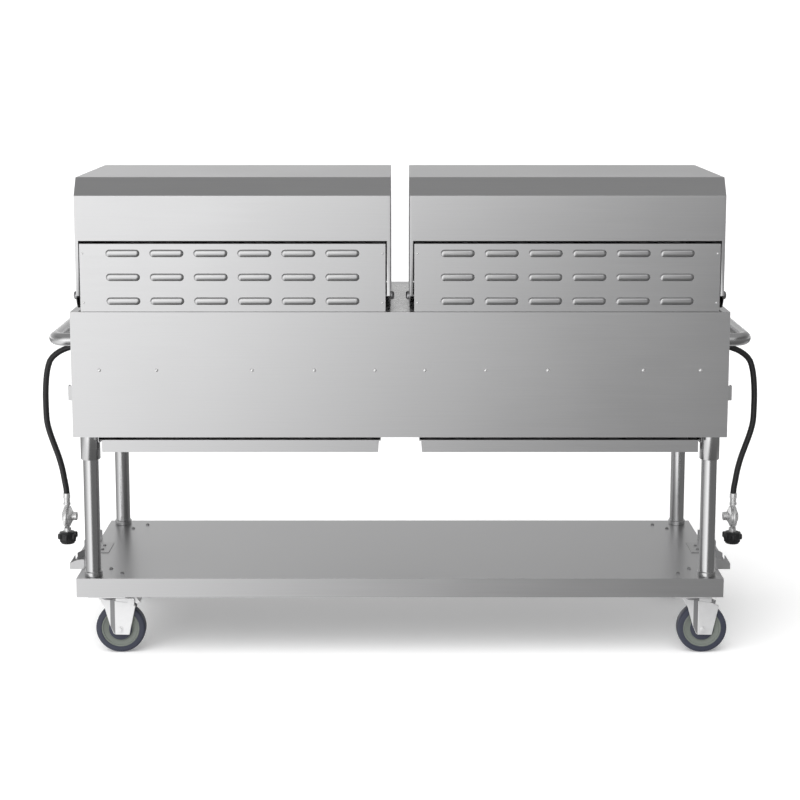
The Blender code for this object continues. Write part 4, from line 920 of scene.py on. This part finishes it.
def caster(end, side, sign):
    kingpin = sign * CASTER_X
    axle = kingpin - TRAIL
    fork(end, side, kingpin, axle)
    swivel(end, side, kingpin)
    wheel(end, side, axle)
    plate_bolts(end, side, kingpin)
    if side == "right":
        brake_pedal(end, axle)


for side, sign in SIDES:
    for end in ENDS:
        caster(end, side, sign)


# Hoses, regulators and hand nuts

# The hose's middle line, as (out from the end panel, up from the burners' height)
HOSE_ROUTE = (
    (0.0065, 0.0), (0.0180, 0.0), (0.0290, -0.0006), (0.0480, -0.0050), (0.0757, -0.0158),
    (0.0967, -0.0315), (0.1064, -0.0473), (0.1138, -0.0788), (0.1177, -0.126), (0.1177, -0.1733),
    (0.1160, -0.2048), (0.1085, -0.2363), (0.0980, -0.2678), (0.0875, -0.2993), (0.0796, -0.3308),
    (0.0744, -0.3623), (0.0712, -0.3810), (0.0704, -0.3940), (0.0704, -0.4070),
)


def smooth_through(points, samples):
    """Evenly spaced points on a smooth curve through the given ones, and its length."""
    points = [Vector(p) for p in points]
    padded = [2 * points[0] - points[1], *points, 2 * points[-1] - points[-2]]
    fine = []
    for a, b, c, d in zip(padded, padded[1:], padded[2:], padded[3:]):
        for k in range(16):
            t = k / 16
            fine.append(0.5 * (2 * b + (c - a) * t + (2 * a - 5 * b + 4 * c - d) * t ** 2
                               + (3 * b - a - 3 * c + d) * t ** 3))
    fine.append(points[-1])
    run = [0.0]
    for before, after in zip(fine, fine[1:]):
        run.append(run[-1] + (after - before).length)
    spaced = []
    for k in range(samples):
        want = run[-1] * k / (samples - 1)
        i = max(1, next((n for n, r in enumerate(run) if r >= want - 1e-9), len(run) - 1))
        spaced.append(fine[i - 1].lerp(fine[i], (want - run[i - 1]) / (run[i] - run[i - 1])))
    return spaced, run[-1]


def gas_hose(side, sign):
    """The hose as a curve, with the ferrule at its upper end as a piece."""
    route = [(sign * (HALF + out), HOSE_Y, BURNER_Z + up) for out, up in HOSE_ROUTE]
    points, length = smooth_through(route, 40)
    curve = bpy.data.curves.new(f"hose_{side}", "CURVE")
    curve.dimensions = "3D"
    spline = curve.splines.new("POLY")
    spline.points.add(len(points) - 1)
    for target, point in zip(spline.points, points):
        target.co = (*point, 1.0)
    curve.bevel_depth = HOSE_RADIUS
    curve.bevel_resolution = 8
    curve.use_fill_caps = True
    curve.materials.append(RUBBER)
    hose = bpy.data.objects.new(f"hose_{side}", curve)
    bpy.context.collection.objects.link(hose)
    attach(hose, "root")
    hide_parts(f"gas_hose_{side}")
    ferrule = turned([(0.0078, 0.0), (0.0090, 0.0), (0.0092, 0.002), (0.0092, 0.017),
                      (0.0086, 0.019), (0.0078, 0.019)], points[0], "x", 40, closed=True)
    if sign < 0:
        bmesh.ops.scale(ferrule, vec=(-1, 1, 1), verts=ferrule.verts,
                        space=Matrix.Translation(-Vector(points[0])))
    crimp = piece(f"hose_crimp_{side}", ferrule, ALLOY, "root", angle=35)
    return hose, crimp, points, length


STEM = 0.0915  # from the regulator's top down to the shoulder its hand nut meets


def regulator(side, sign, end):
    """Ferrule, round diaphragm housing seen from its edge, vent cap and inlet stem."""
    x, y, top = abs(end[0]), end[1], end[2] - GAP
    spine = raised([(0.0088, 0.0125), (0.0092, 0.0110), (0.0092, -0.0005), (0.0080, -0.0020),
                    (0.0080, -0.0130), (0.0092, -0.0135), (0.0092, -0.0190), (0.0055, -0.0200),
                    (0.0055, -0.0800), (0.0092, -0.0810), (0.0092, -STEM), (0.0050, -STEM),
                    (0.0050, -0.1020)], top)
    middle = (x, y, top - 0.0497)
    housing = [(0.0, 0.0125), (0.0125, 0.0125), (0.0140, 0.0105), (0.0200, 0.0088),
               (0.0262, 0.0072), (0.0275, 0.0040), (0.0325, 0.0034), (0.0330, 0.0026),
               (0.0330, -0.0026), (0.0325, -0.0034), (0.0275, -0.0040), (0.0262, -0.0080),
               (0.0200, -0.0105), (0.0150, -0.0135)]
    shell = join(turned(spine, (x, y, 0), "z", 48), turned(housing, middle, "x", 72))
    circle = 0.0301  # of the housing's screws
    for k in range(6):
        angle = math.tau * (k + 0.5) / 6
        spot = (x + 0.0034, y + circle * math.cos(angle), middle[2] + circle * math.sin(angle))
        join(shell, hex_head(spot, 0.0038, 0.0018, "x", 1))
    body = piece(f"regulator_body_{side}", sided(shell, sign), ALLOY, "root",
                 [f"regulator_{side}"], angle=35)
    cap = turned([(0.0, -0.0262), (0.0098, -0.0262), (0.0112, -0.0250), (0.0112, -0.0190),
                  (0.0104, -0.0185), (0.0104, -0.0165), (0.0120, -0.0160), (0.0120, -0.0135),
                  (0.0, -0.0130)], middle, "x", 56)
    cap = piece(f"vent_cap_{side}", sided(cap, sign), ALLOY, "root", angle=30)
    return body, cap


def hand_nut(side, sign, end):
    """A cup that is open below, with six lobes and a ring of fine ribs."""
    x, y = abs(end[0]), end[1]
    high = end[2] - 2 * GAP - STEM
    low = high - 0.0305
    bore, radius, rib_circle = 0.0058, 0.0205, 0.0196
    upper = raised([(bore, 0), (0.0170, 0), (0.0190, -0.0010), (radius, -0.0030),
                    (radius, -0.0190)], high)
    lower = raised([(0.0190, 0.0040), (0.0175, 0.0005), (0.0170, 0), (0.0155, 0),
                    (0.0155, 0.018), (bore, 0.018)], low)
    shell = turned(upper + lower, (x, y, 0), "z", 72, closed=True)
    lobe = raised([(0.0, -0.0030), (0.0050, -0.0032), (0.0062, -0.0048), (0.0065, -0.0070),
                   (0.0065, -0.0145), (0.0058, -0.0170), (0.0, -0.0185)], high)
    for k in range(6):
        angle = math.tau * (k + 0.5) / 6
        spot = (x + radius * math.cos(angle), y + radius * math.sin(angle), 0)
        join(shell, turned(lobe, spot, "z", 24))
    rib = [(0.0, high - 0.0180), (0.0014, high - 0.0190), (0.0014, low + 0.0050),
           (0.0, low + 0.0040)]
    for k in range(30):
        angle = math.tau * k / 30
        spot = (x + rib_circle * math.cos(angle), y + rib_circle * math.sin(angle), 0)
        join(shell, turned(rib, spot, "z", 8))
    return piece(f"hand_nut_{side}", sided(shell, sign), BLACK, f"hose_nut_{side}",
                 [f"hose_nut_{side}"], angle=35)


for side, sign in SIDES:
    hose, crimp, points, length = gas_hose(side, sign)
    body, cap = regulator(side, sign, points[-1])
    nut = hand_nut(side, sign, points[-1])
